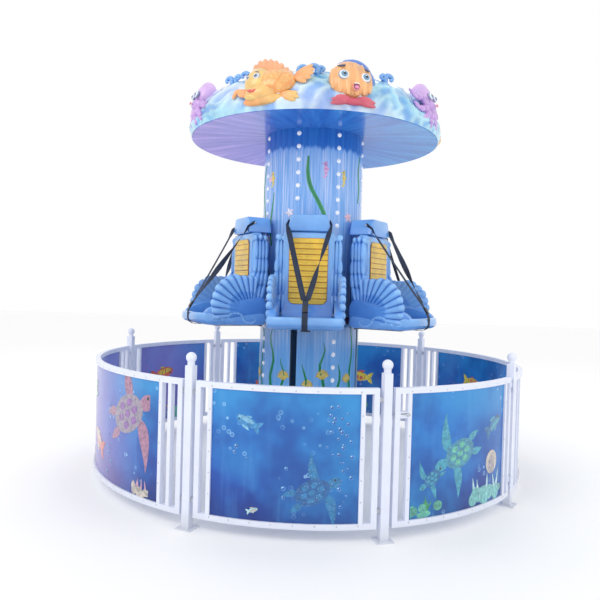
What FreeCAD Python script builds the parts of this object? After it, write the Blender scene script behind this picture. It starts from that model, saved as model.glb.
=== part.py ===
"""Six-seat rotating drop-seat ride with a ring fence: every piece as its own solid, in millimetres.

The origin is on the ground on the tower's axis, +Z is up, and seat 1 and the fence's front face -Y.
Angles about the tower are bearings: 0 at -Y, 90 at +X.
"""
import FreeCAD, Part
import math
import os

V = FreeCAD.Vector
UP = V(0, 0, 1)
ORIGIN = V(0, 0, 0)

# fence
FENCE_RADIUS = 2000.0
POST_SIDE = 60.0
POST_WALL = 3.0
POST_TOP = 1150.0
POST_BEARINGS = [-22.5, 17.5, 57.5, 137.5, 217.5, 257.5]
FOOT_SIDE = 125.0
FOOT_THICK = 8.0
FOOT_PCD = 127.28
FOOT_HOLE = 6.0
CAP_COLLAR_RADIUS = 26.0
CAP_COLLAR = 28.0
CAP_RADIUS = 38.0
FRAME_TUBE = 40.0
BAR_TUBE = 30.0
FRAME_LOW = 90.0
FRAME_HIGH = 1050.0
BOARD_THICK = 12.0
PANEL_GAP = 26.0
SLIT = 58.0
BRACKET_LEVELS = [210.0, 970.0]
BRACKET_HEIGHT = 30.0
BRACKET_THICK = 20.0
BRACKET_BOLT = 6.0

# gate
GATE_FROM = 17.5
GATE_TO = 57.5
HINGE_RADIUS = FENCE_RADIUS + 37.0
KNUCKLE_RADIUS = 12.0
KNUCKLE_HEIGHT = 40.0
HINGE_PIN = 6.0
LATCH_LEVEL = 870.0
LATCH_BOLT = 7.0
LATCH_THROW = 34.0
LATCH_OFFSET = 2.0
LATCH_DRAWN = 58.0
LATCH_LENGTH = 92.0
KNOB_SETBACK = 82.0
KNOB_STEM = 4.0
KNOB_RADIUS = 13.0
KEEPER_THICK = 4.0

# base and slewing drive
BASE_RADIUS = 470.0
BASE_THICK = 15.0
ANCHOR_PCD = 860.0
ANCHOR_HOLE = 9.0
ANCHOR_COUNT = 8
DRUM_RADIUS = 300.0
DRUM_WALL = 22.0
GEAR_LOW = 100.0
GEAR_THICK = 30.0
MODULE = 8.0
RING_TEETH = 80
PINION_TEETH = 16
DRIVE_BEARING = 210.0
BEARING_RADIUS = 270.0
BEARING_WALL = 30.0
TURN_GAP = 0.3
SHAFT_GAP = 0.05
TABLE_LOW = 150.0
TABLE_THICK = 16.0

# tower
COLUMN_RADIUS = 489.0
COLUMN_WALL = 6.0
COLUMN_LOW = 60.0
SLOT_TOP = 2400.0
FLOOR_LEVEL = SLOT_TOP + 100.0
COLUMN_TOP = 3200.0
SLOT_WIDTH = 64.0
SLOT_BEARINGS = [-15.0, 75.0, 165.0, 255.0]
RAIL_SIDE = 20.0
FLOOR_THICK = 10.0
MAST_SIDE = 180.0
MAST_WALL = 8.0
LAMP_RADIUS = 22.0
LAMP_DEPTH = 14.0
LAMP_PITCH = 120.0
LAMP_HIGH = COLUMN_TOP - 50.0
LAMP_LOW = 270.0
SLOT_LAMP_LOW = SLOT_TOP + 150.0

# canopy
RIM_RADIUS = 1210.0
RIM_LOW = COLUMN_TOP - 50.0
BAND_BULGE = RIM_RADIUS + 10.0
BAND_BULGE_Z = COLUMN_TOP
BAND_TOP_RADIUS = RIM_RADIUS - 210.0
BAND_TOP_Z = COLUMN_TOP + 330.0
SKIN = 10.0
CROWN_RISE = 25.0
SPOKE_WIDTH = 50.0
SPOKE_TOP = COLUMN_TOP + 65.0
FIGURE_STEP = 120.0
FISH_BEARING = -16.0
ROUND_FISH_BEARING = 16.0
OCTOPUS_BEARING = 58.0

# lift
HUB_SIDE = 240.0
HUB_WALL = 14.0
HUB_LOW = 1310.0
HUB_HIGH = 1590.0
ROLLER_RADIUS = 25.0
ROLLER_WIDTH = 36.0
ROLLER_LEVEL = 1545.0
AXLE_RADIUS = 6.0
CHAIN_BEARING = 30.0
SPROCKET_REACH = 260.0
SPROCKET_RADIUS = 56.0
SPROCKET_LEVELS = [260.0, 2380.0]
CHAIN_THICK = 9.5
CHAIN_WIDTH = 20.0
CHAIN_GAP = 0.5
SHAFT_RADIUS = 12.0
RING_INNER = COLUMN_RADIUS + 36.0
RING_OUTER = RING_INNER + 50.0
ARM_LOW = 1400.0
ARM_HIGH = 1460.0
ARM_WIDTH = 50.0

# seats
SEAT_COUNT = 6
SEAT_BACK = RING_OUTER + 15.0
SEAT_LOW = 1372.0
SEAT_DEPTH = 650.0
LIP_TOP = SEAT_LOW + 108.0
PAN_WIDTH = 630.0
BACK_THICK = 150.0
BACK_WIDTH = 440.0
BACK_TOP = 2220.0
FLUTE_RADIUS = 45.0
FLUTE_OFFSET = 255.0
FLUTE_TOP = BACK_TOP - 50.0
WING_INNER = PAN_WIDTH / 2 - 60.0
WING_OUTER = PAN_WIDTH / 2 + 20.0
HEAD_BEHIND = 65.0
HEAD_REACH = 170.0
HEAD_TOP = BACK_TOP + 150.0
HEAD_LOW_WIDTH = 390.0
HEAD_TOP_WIDTH = 310.0
PAD_LOW = 1577.0
PAD_HIGH = 2163.0
PAD_WIDTH = 345.0
PAD_THICK = 12.0
PAD_CORNER = 60.0
BELT_WIDTH = 50.0
BELT_THICK = 3.0
BELT_GAP = 0.3
BUCKLE = (60.0, 46.0, 16.0)


def at(radius, bearing, z=0.0):
    """The point at a radius and bearing about the tower's axis."""
    angle = math.radians(bearing)
    return V(radius * math.sin(angle), -radius * math.cos(angle), z)


def facing(shape, bearing):
    """Turn a shape that was built towards +X so that it faces the bearing."""
    turned = shape.copy()
    turned.rotate(ORIGIN, UP, bearing - 90.0)
    return turned


def block(x, y, z):
    """A box from (low, high) pairs."""
    return Part.makeBox(x[1] - x[0], y[1] - y[0], z[1] - z[0], V(x[0], y[0], z[0]))


def rod(radius, start, end):
    """A round bar between two points."""
    return Part.makeCylinder(radius, (end - start).Length, start, end - start)


def tube(outer, inner, low, high):
    """An upright round tube on the tower's axis."""
    return rod(outer, V(0, 0, low), V(0, 0, high)).cut(rod(inner, V(0, 0, low), V(0, 0, high)))


def sector(inner, outer, low, high, start, end):
    """A curved bar of rectangular section between two bearings."""
    corners = [at(inner, start, low), at(outer, start, low), at(outer, start, high), at(inner, start, high)]
    face = Part.Face(Part.makePolygon(corners + corners[:1]))
    return face.revolve(ORIGIN, UP, end - start)


def spun(edges):
    """A full solid of revolution about the tower's axis from closed (radius, z) edges."""
    return Part.Face(Part.Wire(edges)).revolve(ORIGIN, UP, 360)


def outline(points):
    """Closed straight edges through (radius, z) points."""
    corners = [V(radius, 0, z) for radius, z in points]
    return [Part.LineSegment(a, b).toShape() for a, b in zip(corners, corners[1:] + corners[:1])]


def slab(points, width, middle=0.0):
    """A side outline of (x, z) points, extruded across Y about its middle."""
    corners = [V(x, middle - width / 2, z) for x, z in points]
    return Part.Face(Part.makePolygon(corners + corners[:1])).extrude(V(0, width, 0))


def fused(shapes):
    """One solid from several."""
    return shapes[0].multiFuse(shapes[1:]).removeSplitter()


def degrees_of(length, radius=FENCE_RADIUS):
    """The angle that a short length takes on a circle."""
    return math.degrees(length / radius)


def save(name, shapes):
    """Write one sub-part as STEP."""
    shape = shapes if isinstance(shapes, Part.Shape) else Part.makeCompound(shapes)
    shape.exportStep("parts/" + name + ".step")


# ---------------------------------------------------------------- fence
def fence_post(bearing):
    """A square tube post on its drilled foot plate."""
    half = POST_SIDE / 2
    bore = half - POST_WALL
    near, far = FENCE_RADIUS - half, FENCE_RADIUS + half
    body = block((near, far), (-half, half), (0, POST_TOP))
    body = body.cut(block((near + POST_WALL, far - POST_WALL), (-bore, bore), (0, POST_TOP - POST_WALL)))
    reach = FOOT_SIDE / 2
    foot = block((FENCE_RADIUS - reach, FENCE_RADIUS + reach), (-reach, reach), (0, FOOT_THICK))
    for index in range(4):
        angle = math.radians(45 + 90 * index)
        x = FENCE_RADIUS + FOOT_PCD / 2 * math.cos(angle)
        y = FOOT_PCD / 2 * math.sin(angle)
        foot = foot.cut(rod(FOOT_HOLE, V(x, y, 0), V(x, y, FOOT_THICK)))
    return facing(fused([body, foot]), bearing)


def post_cap(bearing):
    """A ball on a short collar."""
    collar = rod(CAP_COLLAR_RADIUS, V(FENCE_RADIUS, 0, POST_TOP), V(FENCE_RADIUS, 0, POST_TOP + CAP_COLLAR))
    ball_level = POST_TOP + CAP_COLLAR + math.sqrt(CAP_RADIUS ** 2 - CAP_COLLAR_RADIUS ** 2)
    ball = Part.makeSphere(CAP_RADIUS, V(FENCE_RADIUS, 0, ball_level))
    return facing(collar.fuse(ball), bearing)


def panel_span(start, end):
    """The bearings that a panel's frame reaches between two posts."""
    reach = degrees_of(POST_SIDE / 2 + PANEL_GAP)
    return start + reach, end - reach


def frame_windows(start, end):
    """The frame's open windows: slits at both ends and the picture window between them."""
    low, high = panel_span(start, end)
    slits = 1 if end - start < 60 else 2
    left = low + degrees_of(FRAME_TUBE)
    right = high - degrees_of(FRAME_TUBE)
    windows = []
    for _ in range(slits):
        windows.append((left, left + degrees_of(SLIT)))
        windows.append((right - degrees_of(SLIT), right))
        left += degrees_of(SLIT + BAR_TUBE)
        right -= degrees_of(SLIT + BAR_TUBE)
    return windows, (left, right)


def panel_frame(start, end):
    """A curved frame of square tube with slits at its ends and a picture window."""
    low, high = panel_span(start, end)
    inner, outer = FENCE_RADIUS - FRAME_TUBE / 2, FENCE_RADIUS + FRAME_TUBE / 2
    frame = sector(inner, outer, FRAME_LOW, FRAME_HIGH, low, high)
    slits, picture = frame_windows(start, end)
    for left, right in slits + [picture]:
        window = sector(inner - 1, outer + 1, FRAME_LOW + FRAME_TUBE, FRAME_HIGH - FRAME_TUBE, left, right)
        frame = frame.cut(window)
    return frame


def panel_board(start, end):
    """The thin curved picture board that fills the window."""
    left, right = frame_windows(start, end)[1]
    inner, outer = FENCE_RADIUS - BOARD_THICK / 2, FENCE_RADIUS + BOARD_THICK / 2
    return sector(inner, outer, FRAME_LOW + FRAME_TUBE, FRAME_HIGH - FRAME_TUBE, left, right)


def panel_brackets(start, end):
    """Two bolted lugs at each end of a panel, between its end tube and the post."""
    low, high = panel_span(start, end)
    inner, outer = FENCE_RADIUS - BRACKET_THICK / 2, FENCE_RADIUS + BRACKET_THICK / 2
    lugs = []
    for post, edge in ((start, low), (end, high)):
        for level in BRACKET_LEVELS:
            bottom, top = level - BRACKET_HEIGHT / 2, level + BRACKET_HEIGHT / 2
            lug = sector(inner, outer, bottom, top, min(post, edge), max(post, edge))
            half = POST_SIDE / 2
            lug = lug.cut(facing(block((inner - 9, outer + 9), (-half, half), (bottom, top)), post))
            middle = edge + math.copysign(degrees_of(PANEL_GAP / 2), post - edge)
            bolt = rod(BRACKET_BOLT, at(inner - 4, middle, level), at(outer + 6, middle, level))
            lugs.append(fused([lug, bolt]))
    return lugs


# ---------------------------------------------------------------- gate
def hinge_bearing():
    """The bearing of the gate's hinge line, in the gap beside its post."""
    return GATE_TO - degrees_of(POST_SIDE / 2 + PANEL_GAP / 2)


def hinge_posts():
    """The fixed knuckles with their pins, welded to the hinge post."""
    pieces = []
    bearing = hinge_bearing()
    half = POST_SIDE / 2
    outer = FENCE_RADIUS + half
    for level in BRACKET_LEVELS:
        low, high = level - KNUCKLE_HEIGHT - TURN_GAP, level - TURN_GAP
        knuckle = rod(KNUCKLE_RADIUS, at(HINGE_RADIUS, bearing, low), at(HINGE_RADIUS, bearing, high))
        pin = rod(HINGE_PIN, at(HINGE_RADIUS, bearing, high), at(HINGE_RADIUS, bearing, level + KNUCKLE_HEIGHT))
        leaf = sector(outer, outer + 6, low, high, bearing, GATE_TO + 0.4).cut(fence_post(GATE_TO))
        pieces.append(fused([knuckle, pin, leaf]))
    return pieces


def gate_frame():
    """The gate's curved frame with its hinge knuckles, latch crossbar and bolt hole."""
    frame = panel_frame(GATE_FROM, GATE_TO)
    bearing = hinge_bearing()
    outer = FENCE_RADIUS + FRAME_TUBE / 2
    for level in BRACKET_LEVELS:
        high = level + KNUCKLE_HEIGHT
        knuckle = rod(KNUCKLE_RADIUS, at(HINGE_RADIUS, bearing, level), at(HINGE_RADIUS, bearing, high))
        edge = panel_span(GATE_FROM, GATE_TO)[1]
        leaf = sector(outer - 4, outer + 6, level, high, edge - 0.8, edge - 0.02)
        strap = sector(outer + 1, outer + 6, level, high, edge - 0.8, bearing)
        frame = frame.fuse([leaf, strap, knuckle])
        frame = frame.cut(rod(HINGE_PIN + SHAFT_GAP, at(HINGE_RADIUS, bearing, level), at(HINGE_RADIUS, bearing, high)))
    left, right = frame_windows(GATE_FROM, GATE_TO)[0][0]
    half = FRAME_TUBE / 2 - 4
    low, high = LATCH_LEVEL - 30, LATCH_LEVEL - 20
    bar = sector(FENCE_RADIUS - half, FENCE_RADIUS + half, low, high, left, right)
    frame = frame.fuse(bar)
    return frame.cut(latch_line(LATCH_BOLT + 1.5, 0, LATCH_DRAWN + FRAME_TUBE))


def latch_line(radius, start, end):
    """A bar along the latch bolt's line, measured from the latch post's middle."""
    reach = FENCE_RADIUS + LATCH_OFFSET
    return facing(rod(radius, V(reach, start, LATCH_LEVEL), V(reach, end, LATCH_LEVEL)), GATE_FROM)


def latch_case():
    """The block on the crossbar that guides the latch bolt, slotted for its knob."""
    left, right = frame_windows(GATE_FROM, GATE_TO)[0][0]
    half = FRAME_TUBE / 2 - 4
    case = sector(FENCE_RADIUS - half, FENCE_RADIUS + half, LATCH_LEVEL - 20, LATCH_LEVEL + 16, left, right)
    case = case.cut(latch_line(LATCH_BOLT + SHAFT_GAP, 0, 2 * LATCH_LENGTH))
    knob = LATCH_DRAWN + KNOB_SETBACK
    margin = KNOB_STEM + 1
    travel = (knob - LATCH_THROW - margin, knob + margin)
    slot = block((FENCE_RADIUS, FENCE_RADIUS + FRAME_TUBE), travel, (LATCH_LEVEL - margin, LATCH_LEVEL + margin))
    return case.cut(facing(slot, GATE_FROM))


def latch_bolt():
    """The sliding bolt with its knob, stored drawn back."""
    reach = FENCE_RADIUS + LATCH_OFFSET
    knob = LATCH_DRAWN + KNOB_SETBACK
    bolt = rod(LATCH_BOLT, V(reach, LATCH_DRAWN, LATCH_LEVEL), V(reach, LATCH_DRAWN + LATCH_LENGTH, LATCH_LEVEL))
    stem = rod(KNOB_STEM, V(reach, knob, LATCH_LEVEL), V(reach + 36, knob, LATCH_LEVEL))
    ball = Part.makeSphere(KNOB_RADIUS, V(reach + 42, knob, LATCH_LEVEL))
    return facing(fused([bolt, stem, ball]), GATE_FROM)


def latch_keeper():
    """The drilled striker plate on the latch post."""
    half = POST_SIDE / 2
    reach = FENCE_RADIUS + LATCH_OFFSET
    face = (half, half + KEEPER_THICK)
    plate = block((reach - 18, reach + 18), face, (LATCH_LEVEL - 25, LATCH_LEVEL + 25))
    return facing(plate, GATE_FROM).cut(latch_line(LATCH_BOLT + 2, 0, LATCH_DRAWN))


def latch_post(post):
    """Drill the latch post's near wall for the bolt."""
    return post.cut(latch_line(LATCH_BOLT + 2, 0, LATCH_DRAWN))


# ---------------------------------------------------------------- base and slewing drive
def base_plate():
    """The round floor plate with its ring of anchor holes."""
    plate = rod(BASE_RADIUS, ORIGIN, V(0, 0, BASE_THICK))
    for index in range(ANCHOR_COUNT):
        place = at(ANCHOR_PCD / 2, 360 * (index + 0.5) / ANCHOR_COUNT)
        plate = plate.cut(rod(ANCHOR_HOLE, place, place + V(0, 0, BASE_THICK)))
    return plate


def toothed(teeth, root, first, low, high):
    """A solid gear about the Z axis with straight-flanked teeth, the first at an angle from +X."""
    pitch = teeth * MODULE / 2
    tip, thick, slope = pitch + 5.5, 10.0, math.tan(math.radians(20))
    half_tip = thick / 2 - (tip - pitch) * slope
    half_root = thick / 2 + (pitch - root) * slope
    corners = []
    for index in range(teeth):
        angle = math.radians(first + 360.0 * index / teeth)
        along, across = V(math.cos(angle), math.sin(angle), 0), V(-math.sin(angle), math.cos(angle), 0)
        for reach, half in ((root, -half_root), (tip, -half_tip), (tip, half_tip), (root, half_root)):
            corners.append(along * reach + across * half + V(0, 0, low))
    return Part.Face(Part.makePolygon(corners + corners[:1])).extrude(V(0, 0, high - low))


def ring_gear():
    """The fixed ring with outside teeth that carries the slewing bearing."""
    spacing = 360.0 / RING_TEETH
    root = RING_TEETH * MODULE / 2 - 8
    first = DRIVE_BEARING - 90 + spacing / 2
    gear = toothed(RING_TEETH, root, first, GEAR_LOW, GEAR_LOW + GEAR_THICK)
    return gear.cut(rod(BEARING_RADIUS + TURN_GAP, V(0, 0, 0), V(0, 0, TABLE_LOW)))


def pinion_reach():
    """The distance from the tower's axis to the pinion's."""
    return (RING_TEETH + PINION_TEETH) * MODULE / 2


def pinion():
    """The drive pinion with its shaft, up through the turntable."""
    root = PINION_TEETH * MODULE / 2 - 8
    gear = toothed(PINION_TEETH, root, 180, GEAR_LOW - 2, GEAR_LOW + GEAR_THICK + 2)
    shaft = rod(15, V(0, 0, GEAR_LOW), V(0, 0, TABLE_LOW + TABLE_THICK - 1))
    whole = gear.fuse(shaft)
    whole.translate(V(pinion_reach(), 0, 0))
    return facing(whole, DRIVE_BEARING)


def turntable():
    """The disc that carries the tower, bored for the pinion's shaft."""
    low, high = TABLE_LOW, TABLE_LOW + TABLE_THICK
    disc = rod(COLUMN_RADIUS - COLUMN_WALL, V(0, 0, low), V(0, 0, high))
    place = at(pinion_reach(), DRIVE_BEARING)
    return disc.cut(rod(15 + SHAFT_GAP, place + V(0, 0, low), place + V(0, 0, high)))


def spin_motor():
    """Gearbox and motor standing over the pinion."""
    low = TABLE_LOW + TABLE_THICK
    reach = pinion_reach()
    gearbox = block((reach - 60, reach + 60), (-60, 60), (low, low + 80))
    motor = rod(48, V(reach, 0, low + 80), V(reach, 0, low + 250))
    return facing(gearbox.fuse(motor), DRIVE_BEARING)


# ---------------------------------------------------------------- tower
def column_panel(start, end):
    """One quarter of the column's skin, between two slots."""
    inset = degrees_of(SLOT_WIDTH / 2, COLUMN_RADIUS)
    inner = COLUMN_RADIUS - COLUMN_WALL
    return sector(inner, COLUMN_RADIUS, COLUMN_LOW, SLOT_TOP, start + inset, end - inset)


def slot_rails():
    """Upright square bars inside the skin along both edges of each slot."""
    rails = []
    outer = COLUMN_RADIUS - COLUMN_WALL
    inset = degrees_of(SLOT_WIDTH / 2, COLUMN_RADIUS)
    span = degrees_of(RAIL_SIDE, COLUMN_RADIUS)
    low, high = TABLE_LOW + TABLE_THICK, FLOOR_LEVEL
    for bearing in SLOT_BEARINGS:
        for start in (bearing + inset, bearing - inset - span):
            rails.append(sector(outer - RAIL_SIDE, outer, low, high, start, start + span))
    return rails


def mast():
    """The square tube that the carriage climbs, with its faces towards the slots."""
    half = MAST_SIDE / 2
    bore = half - MAST_WALL
    low, high = TABLE_LOW + TABLE_THICK, COLUMN_TOP
    body = block((-half, half), (-half, half), (low, high)).cut(block((-bore, bore), (-bore, bore), (low, high)))
    return facing(body, SLOT_BEARINGS[0])


def drum_floor():
    """The ring plate that ties the slot rails' tops to the mast."""
    half = MAST_SIDE / 2
    low, high = FLOOR_LEVEL, FLOOR_LEVEL + FLOOR_THICK
    disc = rod(COLUMN_RADIUS - COLUMN_WALL, V(0, 0, low), V(0, 0, high))
    return disc.cut(facing(block((-half, half), (-half, half), (low, high)), SLOT_BEARINGS[0]))


def lamps():
    """Rows of round lamps, full length between the slots and short above them."""
    dome = Part.makeCone(LAMP_RADIUS, LAMP_RADIUS * 0.55, LAMP_DEPTH, V(COLUMN_RADIUS, 0, 0), V(1, 0, 0))
    foot = rod(LAMP_RADIUS, V(COLUMN_RADIUS - 3, 0, 0), V(COLUMN_RADIUS, 0, 0))
    skin = tube(COLUMN_RADIUS, COLUMN_RADIUS - COLUMN_WALL, -40, 40)
    lamp = dome.fuse(foot).cut(skin)
    pieces = []
    for index in range(2 * len(SLOT_BEARINGS)):
        bearing = SLOT_BEARINGS[0] + 45 * index
        level = LAMP_HIGH
        while level >= (LAMP_LOW if index % 2 else SLOT_LAMP_LOW):
            piece = lamp.copy()
            piece.translate(V(0, 0, level))
            pieces.append(facing(piece, bearing))
            level -= LAMP_PITCH
    return pieces


# ---------------------------------------------------------------- canopy
def band_edges(inset):
    """The band's bulging side from rim to top, moved in by an inset: start, middle and end points."""
    low = V(BAND_BULGE - inset, 0, BAND_BULGE_Z)
    high = V(BAND_TOP_RADIUS - inset * 0.6, 0, BAND_TOP_Z - inset)
    middle = V((low.x + high.x) / 2 + 45, 0, (low.z + high.z) / 2 + 20)
    return low, middle, high


def line(a, b):
    """A straight edge."""
    return Part.LineSegment(a, b).toShape()


def canopy_underside():
    """The shallow cone under the canopy, from the column to the rim."""
    inner, outer = COLUMN_RADIUS, RIM_RADIUS
    profile = [(inner - COLUMN_WALL, COLUMN_TOP), (inner, COLUMN_TOP), (outer - SKIN, RIM_LOW)]
    profile += [(outer - SKIN, RIM_LOW + SKIN), (inner, COLUMN_TOP + SKIN), (inner - COLUMN_WALL, COLUMN_TOP + SKIN)]
    return spun(outline(profile))


def canopy_band():
    """The bulging side band with its lip at the rim."""
    low, middle, high = band_edges(0)
    low_in, middle_in, high_in = band_edges(SKIN)
    rim = V(RIM_RADIUS, 0, RIM_LOW)
    rim_in = V(RIM_RADIUS - SKIN, 0, RIM_LOW)
    edges = [line(rim, low), Part.Arc(low, middle, high).toShape(), line(high, high_in)]
    edges += [Part.Arc(high_in, middle_in, low_in).toShape(), line(low_in, rim_in), line(rim_in, rim)]
    return spun(edges)


def canopy_crown():
    """The low cone that closes the canopy's top."""
    edge = band_edges(SKIN)[2]
    profile = [(0, edge.z + CROWN_RISE - SKIN), (edge.x, edge.z - SKIN), (edge.x, edge.z), (0, edge.z + CROWN_RISE)]
    return spun(outline(profile))


def canopy_inside():
    """The space inside the canopy's skins."""
    low, middle, high = band_edges(SKIN)
    rim = V(RIM_RADIUS - SKIN, 0, RIM_LOW + SKIN)
    inner = V(COLUMN_RADIUS, 0, COLUMN_TOP + SKIN)
    axis_low, axis_high = V(0, 0, COLUMN_TOP + SKIN), V(0, 0, high.z + CROWN_RISE - SKIN)
    shoulder = V(high.x, 0, high.z - SKIN)
    edges = [line(axis_low, inner), line(inner, rim), line(rim, low), Part.Arc(low, middle, high).toShape()]
    edges += [line(high, shoulder), line(shoulder, axis_high), line(axis_high, axis_low)]
    return spun(edges)


def canopy_frame():
    """Spokes and a ring over the mast's head plate, shaped to the skins that they carry."""
    half = SPOKE_WIDTH / 2
    ring = tube(RIM_RADIUS - 100, RIM_RADIUS - 150, RIM_LOW, SPOKE_TOP)
    pieces = [rod(SPOKE_WIDTH * 3, V(0, 0, COLUMN_TOP), V(0, 0, SPOKE_TOP)), ring]
    for bearing in range(0, 360, 45):
        spoke = block((0, BAND_BULGE), (-half, half), (RIM_LOW, SPOKE_TOP))
        pieces.append(facing(spoke, bearing))
    post = rod(SPOKE_WIDTH, V(0, 0, SPOKE_TOP), V(0, 0, BAND_TOP_Z + CROWN_RISE))
    whole = fused(pieces + [post]).common(canopy_inside())
    plate = rod(COLUMN_RADIUS - COLUMN_WALL, V(0, 0, COLUMN_TOP), V(0, 0, COLUMN_TOP + SKIN))
    return fused([whole, plate])


def stretched(radii, centre, pitch=0.0):
    """An ellipsoid on the band: its centre is (in from the bulge, y, up from the column's top)."""
    ball = Part.makeSphere(1.0)
    matrix = FreeCAD.Matrix()
    matrix.scale(V(*radii))
    ball = ball.transformGeometry(matrix)
    ball.rotate(ORIGIN, V(1, 0, 0), pitch)
    inward, y, climb = centre
    ball.translate(V(BAND_BULGE - inward, y, COLUMN_TOP + climb))
    return ball


def fin(points, inward, depth):
    """A flat fin: a (y, height over the column's top) outline, extruded outwards from inside the bulge."""
    corners = [V(BAND_BULGE - inward, y, COLUMN_TOP + climb) for y, climb in points]
    return Part.Face(Part.makePolygon(corners + corners[:1])).extrude(V(depth, 0, 0))


def canopy_core():
    """Everything inside the band's outer surface, which the reliefs are cut back to."""
    low, middle, high = band_edges(0)
    rim = V(RIM_RADIUS, 0, RIM_LOW)
    floor, roof = V(0, 0, RIM_LOW - 100), V(0, 0, BAND_TOP_Z)
    edges = [line(floor, V(RIM_RADIUS, 0, RIM_LOW - 100)), line(V(RIM_RADIUS, 0, RIM_LOW - 100), rim)]
    edges += [line(rim, low), Part.Arc(low, middle, high).toShape(), line(high, roof), line(roof, floor)]
    return spun(edges)


def reliefs(shapes, bearing):
    """One relief figure, cut back to the band and repeated three times round it."""
    figure = fused(shapes).cut(canopy_core())
    figure = max(figure.Solids, key=lambda solid: solid.Volume)
    return [facing(figure, bearing + FIGURE_STEP * index) for index in range(3)]


def fish():
    """A plump fish with back, belly, chest and tail fins."""
    body = stretched((75, 200, 130), (55, -10, 175), 12)
    back = fin([(-150, 250), (-165, 375), (-75, 422), (50, 395), (170, 280), (150, 200)], 135, 90)
    tail = fin([(150, 170), (285, 345), (330, 320), (320, 200), (270, 130)], 100, 80)
    belly = fin([(40, 100), (200, 75), (250, 15), (215, -10), (60, 0)], 40, 75)
    jaw = stretched((60, 95, 50), (5, -140, 40))
    chest = fin([(-180, 135), (-300, 150), (-330, 110), (-290, 70), (-190, 100)], 60, 80)
    return reliefs([body, back, tail, belly, jaw, chest], FISH_BEARING)


def round_fish():
    """A round face with a cap over it and a collar below."""
    face = stretched((85, 190, 165), (60, 0, 190))
    cap = stretched((105, 190, 125), (125, 50, 292), -20)
    collar = fin([(-185, -20), (-150, 55), (150, 55), (185, -20)], 50, 95)
    return reliefs([face, cap, collar], ROUND_FISH_BEARING)


def octopus():
    """A domed head over a fan of arms."""
    head = stretched((75, 105, 120), (80, 20, 260))
    arms = [stretched((60, 75, 70), (35, 10, 150))]
    for tip_y, tip in ((-290, 240), (-245, 130), (-135, 5), (30, -15), (160, 0), (235, 130)):
        corners = [(0, 130), (tip_y, tip - 20), (tip_y, tip + 20), (20, 180)]
        arms.append(fin(corners, 70, 95))
    return reliefs([head] + arms, OCTOPUS_BEARING)


# ---------------------------------------------------------------- lift
def roller_reach():
    """The distance from the mast's axis to a guide roller's."""
    return MAST_SIDE / 2 + TURN_GAP + ROLLER_RADIUS


def carriage_hub():
    """The square sleeve on the mast with roller windows, forks, slide pads and the chain clamp."""
    half, bore = HUB_SIDE / 2, HUB_SIDE / 2 - HUB_WALL
    hub = block((-half, half), (-half, half), (HUB_LOW, HUB_HIGH))
    hub = hub.cut(block((-bore, bore), (-bore, bore), (HUB_LOW, HUB_HIGH)))
    reach = roller_reach()
    side, tall = ROLLER_WIDTH / 2 + 4, ROLLER_RADIUS + 5
    for turn in range(4):
        spin = (ORIGIN, UP, 90 * turn)
        window = block((bore - 1, half + 1), (-side, side), (ROLLER_LEVEL - tall, ROLLER_LEVEL + tall))
        forks = [block((bore, half + 20), (low, low + 8), (ROLLER_LEVEL - tall, ROLLER_LEVEL + tall))
                 for low in (-side - 8, side)]
        axle = rod(AXLE_RADIUS, V(reach, -side - 8, ROLLER_LEVEL), V(reach, side + 8, ROLLER_LEVEL))
        pad = block((MAST_SIDE / 2 + TURN_GAP, bore), (-40, 40), (HUB_LOW + 5, HUB_LOW + 35))
        for piece in [window, axle, pad] + forks:
            piece.rotate(*spin)
        hub = hub.cut(window).fuse(forks + [axle, pad])
    hub = facing(hub.removeSplitter(), SLOT_BEARINGS[0])
    return fused([hub, chain_clamp()])


def chain_clamp():
    """The arm on the hub's corner that grips the chain's inner run."""
    run = SPROCKET_REACH - SPROCKET_RADIUS - CHAIN_GAP - CHAIN_THICK / 2
    corner = (HUB_SIDE / 2 - 2) * math.sqrt(2)
    arm = block((corner - 8, run + 16), (-18, 18), (1420, 1480))
    slot = block((run - 6, run + 6), (-CHAIN_WIDTH / 2 - 1, CHAIN_WIDTH / 2 + 1), (1420, 1480))
    return facing(arm.cut(slot), CHAIN_BEARING)


def roller():
    """A guide roller on its axle, on the mast face towards the first slot."""
    reach, half = roller_reach(), ROLLER_WIDTH / 2
    wheel = rod(ROLLER_RADIUS, V(reach, -half, ROLLER_LEVEL), V(reach, half, ROLLER_LEVEL))
    return wheel.cut(rod(AXLE_RADIUS + SHAFT_GAP, V(reach, -half, ROLLER_LEVEL), V(reach, half, ROLLER_LEVEL)))


def carriage_frame():
    """Four arms from the hub out through the slots to a ring behind the seats."""
    half = ARM_WIDTH / 2
    ring = tube(RING_OUTER, RING_INNER, ARM_LOW, ARM_HIGH)
    arms = [facing(block((HUB_SIDE / 2, RING_INNER + 10), (-half, half), (ARM_LOW, ARM_HIGH)), bearing)
            for bearing in SLOT_BEARINGS]
    return fused([ring] + arms)


def obround(radius, half_width):
    """A tall round-ended slab about both sprockets' centres."""
    low, high = SPROCKET_LEVELS
    reach = SPROCKET_REACH
    body = block((reach - radius, reach + radius), (-half_width, half_width), (low, high))
    ends = [rod(radius, V(reach, -half_width, level), V(reach, half_width, level)) for level in (low, high)]
    return fused([body] + ends)


def lift_chain():
    """The closed chain round both sprockets."""
    inner = SPROCKET_RADIUS + CHAIN_GAP
    loop = obround(inner + CHAIN_THICK, CHAIN_WIDTH / 2).cut(obround(inner, CHAIN_WIDTH / 2))
    return facing(loop, CHAIN_BEARING)


def sprocket(level):
    """A sprocket fixed on its cross shaft."""
    wheel = rod(SPROCKET_RADIUS, V(SPROCKET_REACH, -6, level), V(SPROCKET_REACH, 6, level))
    shaft = rod(SHAFT_RADIUS, V(SPROCKET_REACH, -26, level), V(SPROCKET_REACH, 25.5, level))
    return facing(wheel.fuse(shaft), CHAIN_BEARING)


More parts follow.
